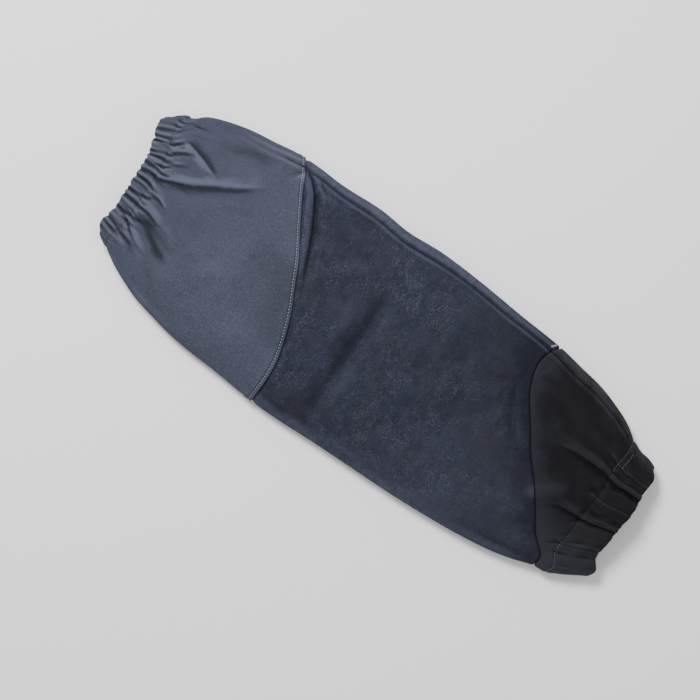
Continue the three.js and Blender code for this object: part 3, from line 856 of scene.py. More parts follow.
def add_node(tree: bpy.types.NodeTree, kind: str, settings: dict | None = None,
             **inputs: object) -> bpy.types.Node:
    """Adds a node to a tree.

    Args:
        tree: the material's node tree.
        kind: type name of the node, such as ShaderNodeTexNoise.
        settings: attributes of the node itself.
        inputs: input sockets, by name with _ for a space; a socket value is linked, any other is set.

    Returns:
        The node.
    """
    node = tree.nodes.new(kind)
    for name, value in (settings or {}).items():
        setattr(node, name, value)
    for name, value in inputs.items():
        feed(node.inputs[name.replace("_", " ")], value)
    return node


def cloth_place(tree: bpy.types.NodeTree) -> bpy.types.NodeSocket:
    """Place on the cloth in metres, round the tube and along it."""
    return add_node(tree, "ShaderNodeUVMap", {"uv_map": CLOTH_UV}).outputs["UV"]


def object_place(tree: bpy.types.NodeTree) -> bpy.types.NodeSocket:
    """Place in the row's frame."""
    return add_node(tree, "ShaderNodeTexCoord").outputs["Object"]


def parts_of(vector: bpy.types.NodeSocket) -> bpy.types.NodeOutputs:
    """The X, Y and Z parts of a vector."""
    return add_node(vector.id_data, "ShaderNodeSeparateXYZ", Vector=vector).outputs


def mix_colour(share: bpy.types.NodeSocket, first: object, second: object) -> bpy.types.NodeSocket:
    """Mixes two colours by a share and returns the result's socket."""
    node = add_node(share.id_data, "ShaderNodeMix", {"data_type": "RGBA"})
    for index, value in ((0, share), (6, first), (7, second)):
        feed(node.inputs[index], value)
    return node.outputs[2]


def layered(colour: bpy.types.NodeSocket, share: bpy.types.NodeSocket, code: str) -> bpy.types.NodeSocket:
    """Lays a colour, given by its hex code, over another one by a share."""
    return mix_colour(share, colour, srgb(code))


def noise(vector: bpy.types.NodeSocket, size: float, detail: float = 3.0,
          roughness: float = 0.55) -> bpy.types.NodeSocket:
    """Noise whose lumps are about size metres across."""
    node = add_node(vector.id_data, "ShaderNodeTexNoise", Vector=vector, Scale=1.0 / size, Detail=detail,
                    Roughness=roughness)
    return node.outputs["Fac"]


def ranged(value: bpy.types.NodeSocket, low: float, high: float, to_low: float = 0.0,
           to_high: float = 1.0) -> bpy.types.NodeSocket:
    """Maps a value smoothly from one range to another, without passing its ends."""
    node = add_node(value.id_data, "ShaderNodeMapRange", {"interpolation_type": "SMOOTHSTEP"}, Value=value,
                    From_Min=low, From_Max=high, To_Min=to_low, To_Max=to_high)
    return node.outputs["Result"]


def arithmetic(operation: str, first: bpy.types.NodeSocket, second: object) -> bpy.types.NodeSocket:
    """Result of a two-value Math node."""
    node = add_node(first.id_data, "ShaderNodeMath", {"operation": operation})
    for socket, value in zip(node.inputs, (first, second)):
        feed(socket, value)
    return node.outputs[0]


def times(first: bpy.types.NodeSocket, second: object) -> bpy.types.NodeSocket:
    """Product of a socket and another socket or number."""
    return arithmetic("MULTIPLY", first, second)


def plus(first: bpy.types.NodeSocket, second: object) -> bpy.types.NodeSocket:
    """Sum of a socket and another socket or number."""
    return arithmetic("ADD", first, second)


def set_surface(shader: bpy.types.Node, **values: object) -> None:
    """Sets uniform inputs of a shader, by name with _ for a space."""
    for name, value in values.items():
        shader.inputs[name.replace("_", " ")].default_value = value


def add_bump(shader: bpy.types.Node, height: bpy.types.NodeSocket, strength: float, distance: float) -> None:
    """Bumps a shader's surface by a height."""
    bump = add_node(height.id_data, "ShaderNodeBump", Height=height, Strength=strength, Distance=distance)
    feed(shader.inputs["Normal"], bump.outputs["Normal"])


def ribs(vector: bpy.types.NodeSocket, pitch: float, turn: float,
         distortion: float = 0.0) -> bpy.types.NodeSocket:
    """Parallel ribs of a pitch in metres, turned from the first axis by an angle."""
    tree = vector.id_data
    wave_length = math.pi / 10
    mapping = add_node(tree, "ShaderNodeMapping", Vector=vector)
    mapping.inputs["Rotation"].default_value = (0.0, 0.0, turn)
    mapping.inputs["Scale"].default_value = (wave_length / pitch,) * 3
    wave = add_node(tree, "ShaderNodeTexWave", {"wave_type": "BANDS", "bands_direction": "X"},
                    Vector=mapping.outputs["Vector"], Scale=1.0, Distortion=distortion)
    return wave.outputs["Fac"]


def new_material(name: str) -> tuple[bpy.types.Material, bpy.types.NodeTree, bpy.types.Node]:
    """Makes a material with its tree and its shader."""
    material = bpy.data.materials.new(name)
    material.use_nodes = True
    return material, material.node_tree, material.node_tree.nodes["Principled BSDF"]


def shade_and_wear_parts(tree: bpy.types.NodeTree) -> tuple[bpy.types.NodeSocket, ...]:
    """The shade-and-wear attribute's parts: height in its surroundings, nearness to a side fold, way past the
    seam.
    """
    shade_and_wear = add_node(tree, "ShaderNodeAttribute", {"attribute_name": SHADE_AND_WEAR}).outputs["Vector"]
    parts = parts_of(shade_and_wear)
    return parts["X"], parts["Y"], parts["Z"]


def crease_shade_and_highlight(colour: bpy.types.NodeSocket, dark: str, light: str, strength: float) -> bpy.types.NodeSocket:
    """Paints shade into a colour down in the creases and a highlight onto the ridges."""
    crease = shade_and_wear_parts(colour.id_data)[0]
    valley = ranged(crease, 0.0, 0.48, strength, 0.0)
    ridge = ranged(crease, 0.52, 0.9, 0.0, strength * 0.5)
    return layered(layered(colour, valley, dark), ridge, light)


@dataclass(frozen=True)
class CottonTwill:
    """Slate blue-grey flame-resistant cotton twill: fine diagonal ribs, faint slubs and hardly any sheen."""

    name: str = "slate_blue_grey_cotton_twill"
    base: str = "#373b48"
    shade: str = "#2f333f"
    fleck: str = "#5e6275"
    dark: str = "#1b1d23"
    rib_pitch: float = 0.9 * MM
    rib_angle: float = math.radians(63)
    grain_size: float = 1.5 * MM
    slub_size: float = 11 * MM
    crumple_size: float = 7 * MM
    patch_size: float = 60 * MM
    pale_from: float = -255 * MM
    pale_to: float = -90 * MM
    stitch_inset: float = 3.4 * MM

    def make(self) -> bpy.types.Material:
        """Builds the material."""
        material, tree, shader = new_material(self.name)
        cloth = cloth_place(tree)
        place = object_place(tree)
        parts = parts_of(place)
        # Paler towards the leather, with faint broad patches
        towards = plus(parts["X"], times(parts["Y"], -0.4))
        paler = ranged(towards, self.pale_from, self.pale_to, 0.0, 0.75)
        broad = plus(paler, ranged(noise(place, self.patch_size, 2.0), 0.35, 0.65, 0.0, 0.25))
        fine = ranged(noise(place, self.grain_size, 2.0, 0.8), 0.42, 0.66)
        twill = ribs(cloth, self.rib_pitch, self.rib_angle, 0.6)
        colour = mix_colour(broad, srgb(self.shade), srgb(self.base))
        # Worn grain, dark slubs and the twill's ribs
        worn = times(fine, plus(paler, 0.35))
        colour = layered(colour, times(worn, 0.28), self.fleck)
        slubs = ranged(noise(place, self.slub_size, 4.0, 0.65), 0.5, 0.72, 0.0, 0.22)
        colour = layered(colour, slubs, self.dark)
        colour = layered(colour, times(twill, 0.1), self.fleck)
        # Painted shade where the cloth dips before the seam and in the topstitch's groove
        inset = times(shade_and_wear_parts(tree)[2], -1.0)
        middle = ranged(arithmetic("ABSOLUTE", plus(parts["Y"], 14 * MM), 0.0),
                        22 * MM, 50 * MM, 1.0, 0.0)
        dip_shade = times(middle, ranged(inset, 14 * MM, 62 * MM, 0.38, 0.0))
        colour = layered(colour, dip_shade, self.dark)
        groove_shade = arithmetic("COMPARE", inset, self.stitch_inset)
        groove_shade.node.inputs[2].default_value = 1.0 * MM
        colour = layered(colour, times(groove_shade, 0.5), self.dark)
        # Painted shade in the creases, painted highlight on the ridges
        feed(shader.inputs["Base Color"], crease_shade_and_highlight(colour, self.dark, self.fleck, 0.85))
        set_surface(shader, Roughness=0.9, Specular_IOR_Level=0.2, Sheen_Weight=0.06, Sheen_Roughness=0.4,
                    Sheen_Tint=srgb("#aab2c6"))
        crumple = noise(place, self.crumple_size, 2.5)
        height = plus(plus(times(twill, 0.25), crumple), times(fine, 0.12))
        add_bump(shader, height, 0.5, 0.35 * MM)
        return material


@dataclass(frozen=True)
class SuedeLeather:
    """Dark navy-grey split suede: nap brushed in lighter and darker patches, paler on the side folds."""

    name: str = "navy_grey_split_suede"
    blue: str = "#272a38"
    brown: str = "#2a2a35"
    shade: str = "#1d1e29"
    nap: str = "#4c4e60"
    rubbed: str = "#4c5060"
    dark: str = "#11131b"
    # Painted shade: duller tone where the light falls off towards the wrist seam
    wrist_end_shade: str = "#222428"
    hue_size: float = 24 * MM
    patch_size: float = 17 * MM
    brush_size: float = 7 * MM
    fibre_size: float = 1.4 * MM
    rough_size: float = 38 * MM
    pebble_size: float = 4 * MM

    def make(self) -> bpy.types.Material:
        """Builds the material."""
        material, tree, shader = new_material(self.name)
        place = object_place(tree)
        parts = parts_of(place)
        hues = ranged(noise(place, self.hue_size, 3.0, 0.6), 0.38, 0.62)
        patches = ranged(noise(place, self.patch_size, 5.0, 0.65), 0.36, 0.66)
        streaky = add_node(tree, "ShaderNodeMapping", Vector=place)
        streaky.inputs["Scale"].default_value = (1.0, 0.45, 1.0)
        brushed = ranged(noise(streaky.outputs["Vector"], self.brush_size, 6.0, 0.78), 0.4, 0.62)
        fibre = noise(place, self.fibre_size, 3.0, 0.8)
        rough = ranged(noise(place, self.rough_size, 2.0), 0.4, 0.62, 0.4, 1.0)
        flecks = ranged(fibre, 0.44, 0.64)
        pits = times(ranged(fibre, 0.38, 0.5, 0.3, 0.0), rough)
        _, fold, from_wrist = shade_and_wear_parts(tree)
        colour = mix_colour(hues, srgb(self.brown), srgb(self.blue))
        colour = layered(colour, times(patches, 0.65), self.shade)
        # Pale brushed nap, with dark pits between its tufts
        faded = plus(parts["X"], times(parts["Y"], -1.2))
        faded = ranged(faded, 80 * MM, 290 * MM, 0.0, 0.3)
        nap = plus(times(brushed, 0.65), 0.1)
        nap = times(times(nap, flecks), rough)
        nap = plus(nap, faded)
        colour = layered(colour, pits, self.dark)
        colour = layered(colour, times(nap, 0.85), self.nap)
        # Rubbed pale on the side folds; painted shade towards the wrist seam, duller and darker where the
        # light falls off
        worn = plus(times(brushed, 0.4), 0.35)
        rubbed = times(ranged(fold, 0.88, 0.98, 0.0, 0.75), worn)
        colour = layered(colour, rubbed, self.rubbed)
        colour = layered(colour, ranged(from_wrist, -120 * MM, -20 * MM, 0.0, 0.5), self.wrist_end_shade)
        lumpy = plus(from_wrist, times(patches, 14 * MM))
        lumpy = plus(lumpy, times(parts["Y"], 0.1))
        wrist_seam_shade = ranged(lumpy, -34 * MM, 8 * MM, 0.0, 0.68)
        colour = layered(colour, wrist_seam_shade, self.dark)
        # Painted shade in the creases, painted highlight on the ridges
        feed(shader.inputs["Base Color"], crease_shade_and_highlight(colour, self.dark, self.nap, 0.62))
        set_surface(shader, Roughness=0.95, Specular_IOR_Level=0.12, Sheen_Weight=0.1, Sheen_Roughness=0.45,
                    Sheen_Tint=srgb("#8b93ad"))
        height = plus(times(fibre, 0.7), noise(place, self.pebble_size, 5.0, 0.65))
        add_bump(shader, height, 0.7, 0.45 * MM)
        return material


@dataclass(frozen=True)
class WristCloth:
    """Near-black wrist cotton, close weave with a slight sheen; painted light greys it beside the leather."""

    name: str = "near_black_wrist_cloth"
    # base: the cloth's own near-black, made darker still as painted shade for the dimmer light at the wrist
    # end
    base: str = "#0f0f14"
    shade: str = "#09090d"
    faded: str = "#28282e"
    # Painted light: greyer beside the leather, falling off towards the wrist end
    seam_side_light: str = "#282b34"
    light: str = "#2a2a2e"
    dark: str = "#060607"
    worn: str = "#303037"
    thread_pitch: float = 0.6 * MM
    lump_size: float = 20 * MM
    crumple_size: float = 6 * MM
    seam_side_light_from: float = -22 * MM
    seam_side_light_to: float = 6 * MM

    def make(self) -> bpy.types.Material:
        """Builds the material."""
        material, tree, shader = new_material(self.name)
        cloth = cloth_place(tree)
        place = object_place(tree)
        lumps = noise(place, self.lump_size, 4.0, 0.6)
        broad = ranged(lumps, 0.35, 0.65)
        colour = mix_colour(broad, srgb(self.shade), srgb(self.base))
        _, fold, from_seam = shade_and_wear_parts(tree)
        # Faded on the low side, painted light beside the leather that falls off towards the wrist end, rubbed
        # on the side folds
        across = parts_of(place)["Y"]
        stray = plus(across, times(lumps, 50 * MM))
        colour = layered(colour, ranged(stray, -50 * MM, 22 * MM, 0.85, 0.0), self.faded)
        ragged = plus(from_seam, times(lumps, -40 * MM))
        seam_side_light = ranged(ragged, self.seam_side_light_from, self.seam_side_light_to, 0.42, 0.0)
        colour = layered(colour, seam_side_light, self.seam_side_light)
        rubbed = times(ranged(fold, 0.8, 0.97, 0.0, 0.6), broad)
        colour = layered(colour, rubbed, self.worn)
        # Painted shade in the creases, painted highlight on the ridges
        feed(shader.inputs["Base Color"], crease_shade_and_highlight(colour, self.dark, self.light, 0.8))
        set_surface(shader, Roughness=0.75, Specular_IOR_Level=0.18, Sheen_Weight=0.03, Sheen_Roughness=0.4,
                    Sheen_Tint=srgb("#9a9ca4"))
        weft = ribs(cloth, self.thread_pitch, 0.0)
        warp = ribs(cloth, self.thread_pitch, math.radians(90))
        weave = times(times(weft, warp), 0.4)
        height = plus(weave, noise(place, self.crumple_size, 3.0))
        add_bump(shader, height, 0.5, 0.3 * MM)
        return material


@dataclass(frozen=True)
class ElasticWebbing:
    """Black braided elastic: close lengthwise cords, matt."""

    name: str = "black_braided_elastic"
    base: str = "#1c1c1f"
    light: str = "#2c2c30"
    cord_pitch: float = 1.4 * MM

    def make(self) -> bpy.types.Material:
        """Builds the material."""
        material, tree, shader = new_material(self.name)
        cloth = cloth_place(tree)
        cords = ribs(cloth, self.cord_pitch, math.radians(90))
        feed(shader.inputs["Base Color"], mix_colour(cords, srgb(self.base), srgb(self.light)))
        set_surface(shader, Roughness=0.8)
        add_bump(shader, cords, 0.6, 0.3 * MM)
        return material


@dataclass(frozen=True)
class SewingThread:
    """Twisted sewing thread with a slight shine and a paler top of each twist."""

    name: str
    base: str
    light: str

    def make(self) -> bpy.types.Material:
        """Builds the material."""
        material, tree, shader = new_material(self.name)
        place = object_place(tree)
        twist = ranged(noise(place, 0.5 * MM, 2.0), 0.4, 0.65)
        feed(shader.inputs["Base Color"], mix_colour(twist, srgb(self.base), srgb(self.light)))
        set_surface(shader, Roughness=0.55, Sheen_Weight=0.1)
        return material


def dress(piece: bpy.types.Object, material: bpy.types.Material, slot: str, *replaced: str) -> None:
    """Gives a piece its material and its body, and hides the nodes that it stands for."""
    piece.data.materials.clear()
    piece.data.materials.append(material)
    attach(piece, BODY)
    if replaced:
        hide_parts(*replaced)
    LOG.info("%s: %d faces", piece.name, len(piece.data.polygons))


def add_casing(profile: Profile, cuff: Cuff, wall: float, elastic_width: float) -> None:
    """Adds the rows of a casing, from its stitches round the folded end to the hem and back to the stitches.

    Args:
        profile: profile to add to, which then holds the rows in the order of the wrist cuff's outer face.
        cuff: which end.
        wall: thickness of the cloth.
        elastic_width: of the elastic in the channel.
    """
    form = profile.form
    end = 0.0 if cuff is Cuff.UPPER_ARM else form.length
    inward = cuff.value
    channel_end = wall + elastic_width + 2 * form.clearance
    stitches = channel_end + form.casing_pinch
    hem_end = stitches + form.hem_tail
    back = 2 * wall + form.channel
    rows: list[tuple[float, float]] = []
    rows += [(distance, 0.0) for distance in np.linspace(stitches, back / 2, max(12, int(stitches / MM)))]
    for angle in np.linspace(0.0, math.pi, 9)[1:-1]:
        rows.append((back / 2 * (1 - math.sin(angle)), back / 2 * (1 - math.cos(angle))))
    rows += [(distance, back) for distance in np.linspace(back / 2, channel_end, 10)]
    rows += [(stitches, 2 * wall + form.clearance), (hem_end, 2 * wall + form.clearance)]
    rows += [(hem_end, wall + form.clearance), (stitches, wall + form.clearance)]
    rows += [(distance, wall + form.channel) for distance in np.linspace(channel_end, wall, 8)]
    rows += [(distance, wall) for distance in np.linspace(wall, stitches, 9)]
    ordered = rows if cuff is Cuff.WRIST else rows[::-1]
    for distance, depth in ordered:
        profile.add(end, inward * distance, depth)


@dataclass
class UpperArmPanel:
    """Cotton twill tube of the upper arm: casing folded in at the open end, thick stitched seam edge."""

    form: SleeveForm
    hem_rise: float = 0.5 * MM
    hem_width: float = 9 * MM
    stitch_inset: float = 3 * MM
    groove_depth: float = 0.45 * MM
    groove_width: float = 0.8 * MM
    close_rows: float = 14 * MM
    edge_round: float = 0.8 * MM
    gather_rows: float = 22 * MM

    def edge_depth(self, place: np.ndarray) -> np.ndarray:
        """Depth of the outer face: raised along the seam's edge, with a groove along the topstitch."""
        seam = self.form.leather_seam(self.form.across(self.form.fine_columns()))
        inset = seam - place
        rise = self.hem_rise * (1 - smoothstep(self.hem_width - 3 * MM, self.hem_width, inset))
        groove = self.groove_depth * bell(inset - self.stitch_inset, self.groove_width)
        return groove - rise

    def build(self) -> bpy.types.Object:
        """Builds the panel as one closed wall."""
        form = self.form
        profile = Profile(form)
        hem = form.upper_casing + form.hem_tail
        seam = form.leather_seam
        near = shifted(seam, -self.close_rows)
        stitches = level(form.upper_casing)
        wall = form.cotton_wall
        edge = shifted(seam, -self.edge_round)
        gather_end = level(hem + self.gather_rows)
        profile.sweep(stitches, gather_end, np.linspace(0.04, 1.0, 24), fixed(0.0))
        profile.sweep(gather_end, near, steps(50), self.edge_depth)
        profile.sweep(near, edge, steps(26), self.edge_depth)
        rim = -self.hem_rise
        for shift, depth in ((-0.35 * MM, 0.1 * MM), (-0.1 * MM, 0.35 * MM), (0.0, 0.8 * MM)):
            profile.add(seam, shift, rim + depth)
        profile.add(seam, 0.0, wall - 0.25 * MM)
        profile.add(seam, -0.3 * MM, wall)
        profile.sweep(edge, near, steps(8), fixed(wall))
        profile.sweep(near, gather_end, steps(34), fixed(wall))
        profile.sweep(gather_end, stitches, np.linspace(0.0, 0.94, 16)[1:], fixed(wall))
        add_casing(profile, Cuff.UPPER_ARM, wall, form.upper_elastic_width)
        return tube_mesh("upper_arm_twill", profile, seam)


def add_turned_edge(profile: Profile, seam: Line, side: int, wall: float, reverse: bool) -> None:
    """Adds the rows of an edge turned in at the plain seam, from the outer face to the inner one.

    Args:
        profile: profile to add to.
        seam: the seam's line.
        side: +1 for the panel on the seam's +X side, -1 for the one on its -X side.
        wall: thickness of the panel.
        reverse: adds the rows from the inner face to the outer one.
    """
    form = profile.form
    roll, allowance = form.seam_roll, form.seam_allowance
    angles = np.linspace(0, math.pi / 2, 7)
    rows = [(roll * (1 - math.sin(angle)), roll * (1 - math.cos(angle))) for angle in angles]
    rows += [(0.0, (roll + allowance) / 2), (0.0, allowance), (wall, allowance), (wall, wall + roll * 0.5)]
    rows += [(wall + 0.2 * roll, wall + 0.15 * roll), (roll + wall / 2, wall)]
    for distance, depth in rows[::-1] if reverse else rows:
        profile.add(seam, side * (form.clearance / 2 + distance), depth)


@dataclass
class ForearmPanel:
    """Suede forearm tube, lapped under the cotton's edge and turned in at the wrist seam."""

    form: SleeveForm
    ridge_reach: float = 30 * MM
    close_rows: float = 16 * MM

    def lap_depth(self, wall: float) -> Callable[[np.ndarray], np.ndarray]:
        """Depth of a face that rises from under the cotton's edge to the sleeve's outer face."""
        form = self.form
        seam = form.leather_seam(form.across(form.fine_columns()))
        step = form.cotton_wall + form.clearance
        return lambda place: wall + step * (1 - smoothstep(0.0, form.lap_ramp, place - seam))

    def build(self) -> bpy.types.Object:
        """Builds the panel as one closed wall."""
        form = self.form
        profile = Profile(form)
        lap_start = shifted(form.leather_seam, -form.lap)
        ramp_end = shifted(form.leather_seam, form.lap_ramp)
        ridge_end = shifted(form.leather_seam, self.ridge_reach)
        roll_start = shifted(form.wrist_seam, -form.seam_roll - form.clearance / 2)
        near_wrist = shifted(roll_start, -self.close_rows)
        outer, inner = self.lap_depth(0.0), self.lap_depth(form.leather_wall)
        profile.sweep(lap_start, form.leather_seam, steps(8, 0), outer)
        profile.sweep(form.leather_seam, ramp_end, steps(10), outer)
        profile.sweep(ramp_end, ridge_end, steps(22), outer)
        profile.sweep(ridge_end, near_wrist, steps(92), outer)
        profile.sweep(near_wrist, roll_start, steps(12, 1, -1), outer)
        add_turned_edge(profile, form.wrist_seam, -1, form.leather_wall, False)
        profile.sweep(roll_start, near_wrist, steps(8, 2), inner)
        profile.sweep(near_wrist, ridge_end, steps(60), inner)
        profile.sweep(ridge_end, ramp_end, steps(14), inner)
        profile.sweep(ramp_end, form.leather_seam, steps(7), inner)
        profile.sweep(form.leather_seam, lap_start, steps(8), inner)
        return tube_mesh("forearm_suede", profile, form.wrist_seam)


@dataclass
class WristPanel:
    """Dark cloth tube of the wrist, turned in at the leather and folded in as the wide casing."""

    form: SleeveForm

    def build(self) -> bpy.types.Object:
        """Builds the panel as one closed wall."""
        form = self.form
        profile = Profile(form)
        roll_end = shifted(form.wrist_seam, form.seam_roll + form.clearance / 2)
        stitches = level(form.wrist_stitches)
        wall = form.wrist_wall
        profile.sweep(roll_end, stitches, steps(66, 1, -1), fixed(0.0))
        add_casing(profile, Cuff.WRIST, wall, form.wrist_elastic_width)
        profile.sweep(stitches, roll_end, steps(44, 1, -1), fixed(wall))
        add_turned_edge(profile, form.wrist_seam, 1, wall, True)
        return tube_mesh("wrist_cloth_panel", profile, form.wrist_seam)


@dataclass
class ElasticRing:
    """Elastic that lies in a casing's channel."""

    form: SleeveForm
    cuff: Cuff
    wall: float
    width: float
    name: str

    def build(self) -> bpy.types.Object:
        """Builds the ring as one closed band."""
        form = self.form
        profile = Profile(form)
        near = self.wall + form.clearance
        far = near + self.width
        end = 0.0 if self.cuff is Cuff.UPPER_ARM else form.length
        distances = np.linspace(near, far, max(8, int(self.width / (1.5 * MM))))
        ordered = distances if self.cuff is Cuff.UPPER_ARM else distances[::-1]
        outer = self.wall + form.clearance
        for distance in ordered:
            profile.add(end, self.cuff.value * distance, outer)
        for distance in ordered[::-1]:
            profile.add(end, self.cuff.value * distance, outer + form.elastic_thickness)
        return tube_mesh(self.name, profile, form.wrist_seam)


@dataclass
class StitchRow:
    """A row of thread stitches on the surface, each the same small arched bead of thread.

    line: where the row runs. columns: stretch of columns that it covers. pitch, length, thickness: of a
    stitch. depth: of the cloth's face under it. turn: angle of each stitch from the row.
    """

    form: SleeveForm
    name: str
    line: Line
    columns: tuple[float, float]
    pitch: float = 2.6 * MM
    length: float = 2.0 * MM
    thickness: float = 0.5 * MM
    depth: float = 0.0
    turn: float = 0.0

    def route(self) -> tuple[np.ndarray, np.ndarray, np.ndarray]:
        """Evenly spaced points of the row, with the row's direction and the outward direction at each."""
        form = self.form
        fine = np.linspace(*self.columns, 1600)
        place = self.line(form.across(fine))
        points = form.wall_point(place, fine, self.depth)
        runs = np.concatenate([[0.0], np.cumsum(np.linalg.norm(np.diff(points, axis=0), axis=-1))])
        stops = np.arange(self.pitch / 2, runs[-1], self.pitch)
        column = np.interp(stops, runs, fine)
        place = self.line(form.across(column))
        at = form.wall_point(place, column, self.depth)
        step = 0.02
        ahead = form.wall_point(self.line(form.across(column + step)), column + step, self.depth)
        behind = form.wall_point(self.line(form.across(column - step)), column - step, self.depth)
        beside = form.wall_point(place + 0.3 * MM, column, self.depth)
        along = ahead - behind
        along /= np.linalg.norm(along, axis=-1, keepdims=True)
        outward = np.cross(along, beside - at)
        outward /= np.linalg.norm(outward, axis=-1, keepdims=True)
        outward *= np.sign(np.sum(outward * form.outward(place, column), axis=-1, keepdims=True))
        return at, along, outward

    def stitch(self) -> tuple[np.ndarray, list[tuple[int, ...]]]:
        """Points and faces of one stitch, lying along X and arched so that both ends dip into the cloth."""
        deselect_all()
        bpy.ops.mesh.primitive_uv_sphere_add(segments=8, ring_count=6, radius=0.5)
        bead = bpy.context.active_object
        bpy.ops.object.mode_set(mode="EDIT")
        bpy.ops.mesh.select_all(action="SELECT")
        bpy.ops.transform.rotate(value=math.pi / 2, orient_axis="Y", center_override=(0.0, 0.0, 0.0))
        bpy.ops.transform.resize(value=(self.length, self.thickness, self.thickness * 0.8))
        bpy.ops.object.mode_set(mode="OBJECT")
        points = np.array([vertex.co for vertex in bead.data.vertices])
        faces = [tuple(face.vertices) for face in bead.data.polygons]
        bpy.data.objects.remove(bead, do_unlink=True)
        points[:, 2] += 0.15 * self.thickness - 0.6 * self.thickness * (2 * points[:, 0] / self.length) ** 2
        return points, faces

    def build(self) -> bpy.types.Object:
        """Builds the whole row as one mesh."""
        at, along, outward = self.route()
        aside = np.cross(outward, along)
        shape, faces = self.stitch()
        run = along * math.cos(self.turn) + aside * math.sin(self.turn)
        across = np.cross(outward, run)
        points = (
            at[:, None, :]
            + shape[None, :, 0:1] * run[:, None, :]
            + shape[None, :, 1:2] * across[:, None, :]
            + shape[None, :, 2:3] * outward[:, None, :]
        )
        points[..., 2] = np.maximum(points[..., 2], 0.0)
        every = [
            tuple(index + number * len(shape) for index in face)
            for number in range(len(at))
            for face in faces
        ]
        mesh = bpy.data.meshes.new(self.name)
        mesh.from_pydata(points.reshape(-1, 3).tolist(), [], every)
        mesh.polygons.foreach_set("use_smooth", np.full(len(every), True))
        mesh.update()
        return add_object(self.name, mesh)


@dataclass
class Studio:
    """Pale floor, soft lights and the overhead camera, turned so that the sleeve lies on a slant."""

    turn: float = math.radians(35.1)
    millimetres_per_pixel: float = 0.899
    frame_pixels: int = 700
    sleeve_centre_pixel: tuple[float, float] = (376.0, 347.75)
    camera_height: float = 1.9
    floor_size: float = 8.0
    floor_gap: float = 0.4 * MM
    sky_strength: float = 0.62
    sensor: float = 36.0

    def to_world(self, right: float, up: float) -> Vector:
        """Direction on the ground of a step to the right and up in the picture."""
        cos, sin = math.cos(self.turn), math.sin(self.turn)
        return Vector((right * cos - up * sin, right * sin + up * cos, 0.0))

    def add_floor(self) -> None:
        """Adds the pale floor."""
        deselect_all()
        bpy.ops.mesh.primitive_plane_add(size=self.floor_size, location=(0.0, 0.0, -self.floor_gap))
        floor = bpy.context.active_object
        floor.name = "floor"
        material, _, shader = new_material("pale_matt_floor")
        set_surface(shader, Base_Color=srgb("#f4f4f4"), Roughness=0.9, Specular_IOR_Level=0.1)
        floor.data.materials.append(material)

    def add_light(self, name: str, right: float, up: float, height: float, size: float, power: float,
                  colour: str) -> None:
        """Adds a square soft light aimed at the sleeve."""
        data = bpy.data.lights.new(name, "AREA")
        data.size = size
        data.energy = power
        data.color = srgb(colour)[:3]
        lamp = add_object(name, data)
        lamp.location = self.to_world(right, up) + Vector((0.0, 0.0, height))
        lamp.rotation_euler = (-lamp.location).to_track_quat("-Z", "Y").to_euler()

    def add_camera(self) -> None:
        """Adds the camera straight above, with the sleeve placed in the picture as in the photograph."""
        scale = self.millimetres_per_pixel * MM
        middle = self.frame_pixels / 2
        right = (middle - self.sleeve_centre_pixel[0]) * scale
        up = (self.sleeve_centre_pixel[1] - middle) * scale
        data = bpy.data.cameras.new("overhead_camera")
        data.sensor_width = self.sensor
        data.lens = self.sensor * self.camera_height / (self.frame_pixels * scale)
        camera = add_object("overhead_camera", data)
        camera.location = self.to_world(right, up) + Vector((0.0, 0.0, self.camera_height))
        camera.rotation_euler = (0.0, 0.0, self.turn)
        bpy.context.scene.camera = camera

    def build(self) -> None:
        """Sets up floor, light and camera."""
        self.add_floor()
        self.add_light("key", -0.62, 1.15, 1.6, 0.7, 60.0, "#ffffff")
        self.add_light("fill", 1.2, -0.8, 1.6, 1.6, 7.0, "#f4f6ff")
        world = bpy.data.worlds.new("studio")
        world.use_nodes = True
        sky = world.node_tree.nodes["Background"]
        set_surface(sky, Color=srgb("#ffffff"), Strength=self.sky_strength)
        bpy.context.scene.world = world
        self.add_camera()


def declare_sheet(piece: bpy.types.Object, flat: tuple[float, float], area: float) -> None:
    """Logs the flat size of the cut that a piece was gathered from, and the cut's area."""
    LOG.info("%s: cut %.0f x %.0f mm, %.4f m2", piece.name, flat[0] / MM, flat[1] / MM, area)


def build_panels(form: SleeveForm) -> None:
    twill = CottonTwill().make()
    suede = SuedeLeather().make()
    dark = WristCloth().make()
    webbing = ElasticWebbing().make()
    ends = level(0.0), level(form.length)
    upper_hem = form.upper_casing + form.hem_tail
    wrist_hem = form.wrist_casing + form.hem_tail
    upper = UpperArmPanel(form).build()
    dress(upper, twill, "cotton_twill", "upper_arm_panel")
    declare_sheet(upper, *form.cut(ends[0], form.leather_seam, upper_hem))
    forearm = ForearmPanel(form).build()
    dress(forearm, suede, "suede_leather", "forearm_panel")
    declare_sheet(forearm, *form.cut(form.leather_seam, form.wrist_seam, form.lap + form.seam_allowance))
    wrist = WristPanel(form).build()
    dress(wrist, dark, "wrist_cloth", "wrist_panel")
    declare_sheet(wrist, *form.cut(form.wrist_seam, ends[1], wrist_hem + form.seam_allowance))
    rings = (
        ElasticRing(form, Cuff.UPPER_ARM, form.cotton_wall, form.upper_elastic_width, "upper_elastic_band"),
        ElasticRing(form, Cuff.WRIST, form.wrist_wall, form.wrist_elastic_width, "wrist_elastic_band"),
    )
    for ring, node in zip(rings, ("upper_elastic", "wrist_elastic")):
        dress(ring.build(), webbing, "elastic_webbing", node)


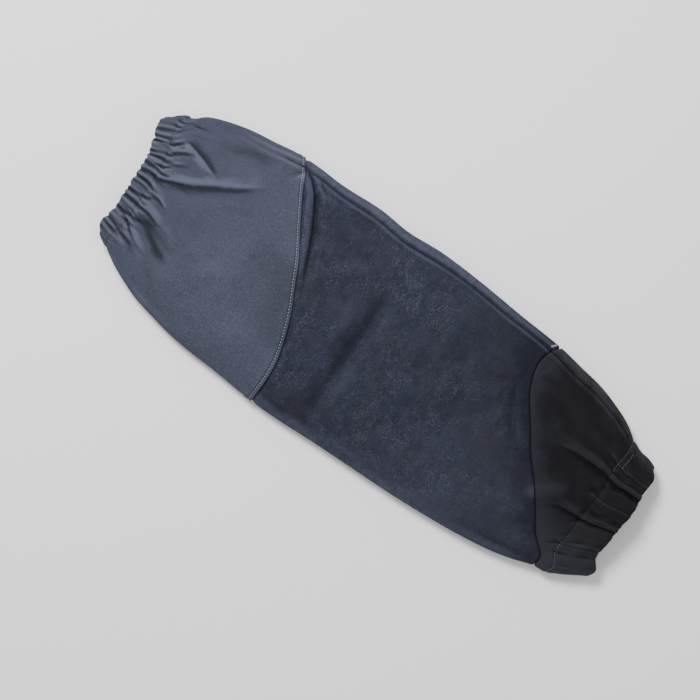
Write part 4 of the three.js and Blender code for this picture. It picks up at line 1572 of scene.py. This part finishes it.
def build_stitches(form: SleeveForm) -> None:
    """Builds the rows of thread."""
    pale = SewingThread("pale_blue_grey_thread", "#81889a", "#9aa1b4").make()
    grey = SewingThread("slate_thread", "#545865", "#656a78").make()
    dark = SewingThread("charcoal_thread", "#131316", "#1b1b1f").make()
    whole = (0.0, float(form.columns))
    wrist_row = level(form.wrist_stitches)
    tack_row = level(form.wrist_stitches + 5 * MM)
    rows = (
        (StitchRow(form, "leather_seam_topstitch", shifted(form.leather_seam, -3 * MM), whole,
                   2.7 * MM, 1.9 * MM, 0.7 * MM),
         pale, "cotton_twill"),
        (StitchRow(form, "cotton_bar_tack", shifted(form.leather_seam, -1.4 * MM), (0.5, 2.2),
                   0.9 * MM, 2.6 * MM, 0.5 * MM, 0.0, 1.25),
         pale, "cotton_twill"),
        (StitchRow(form, "wrist_seam_bar_tack", shifted(form.wrist_seam, -3.5 * MM), (0.25, 1.3),
                   0.9 * MM, 2.4 * MM, 0.5 * MM, 0.0, 1.35),
         pale, "suede_leather"),
        (StitchRow(form, "upper_casing_stitches", level(form.upper_casing), whole,
                   3.2 * MM, 1.4 * MM, 0.36 * MM, 0.06 * MM),
         grey, "cotton_twill"),
        (StitchRow(form, "wrist_stitches_high_side", wrist_row, (1.5, 7.5), 2.4 * MM, 1.7 * MM, 0.45 * MM),
         grey, "wrist_cloth"),
        (StitchRow(form, "wrist_stitches_face", wrist_row, (7.5, 23.0),
                   2.8 * MM, 1.7 * MM, 0.4 * MM, 0.12 * MM),
         dark, "wrist_cloth"),
        (StitchRow(form, "wrist_stitches_low_side", wrist_row, (23.0, 30.0), 2.8 * MM, 1.9 * MM, 0.45 * MM),
         grey, "wrist_cloth"),
        (StitchRow(form, "wrist_stitches_underside", wrist_row, (30.0, 61.5), 2.8 * MM, 1.7 * MM, 0.4 * MM),
         dark, "wrist_cloth"),
        (StitchRow(form, "wrist_closing_tack", tack_row, (2.5, 6.0), 2.3 * MM, 2.2 * MM, 0.36 * MM, 0.0, 0.8),
         grey, "wrist_cloth"),
    )
    for row, thread, slot in rows:
        dress(row.build(), thread, slot)


def main() -> None:
    """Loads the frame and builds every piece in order."""
    logging.basicConfig(level=logging.INFO, format="%(message)s")
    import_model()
    form = SleeveForm()
    build_panels(form)
    build_stitches(form)
    Studio().build()


if __name__ == "__main__":
    main()
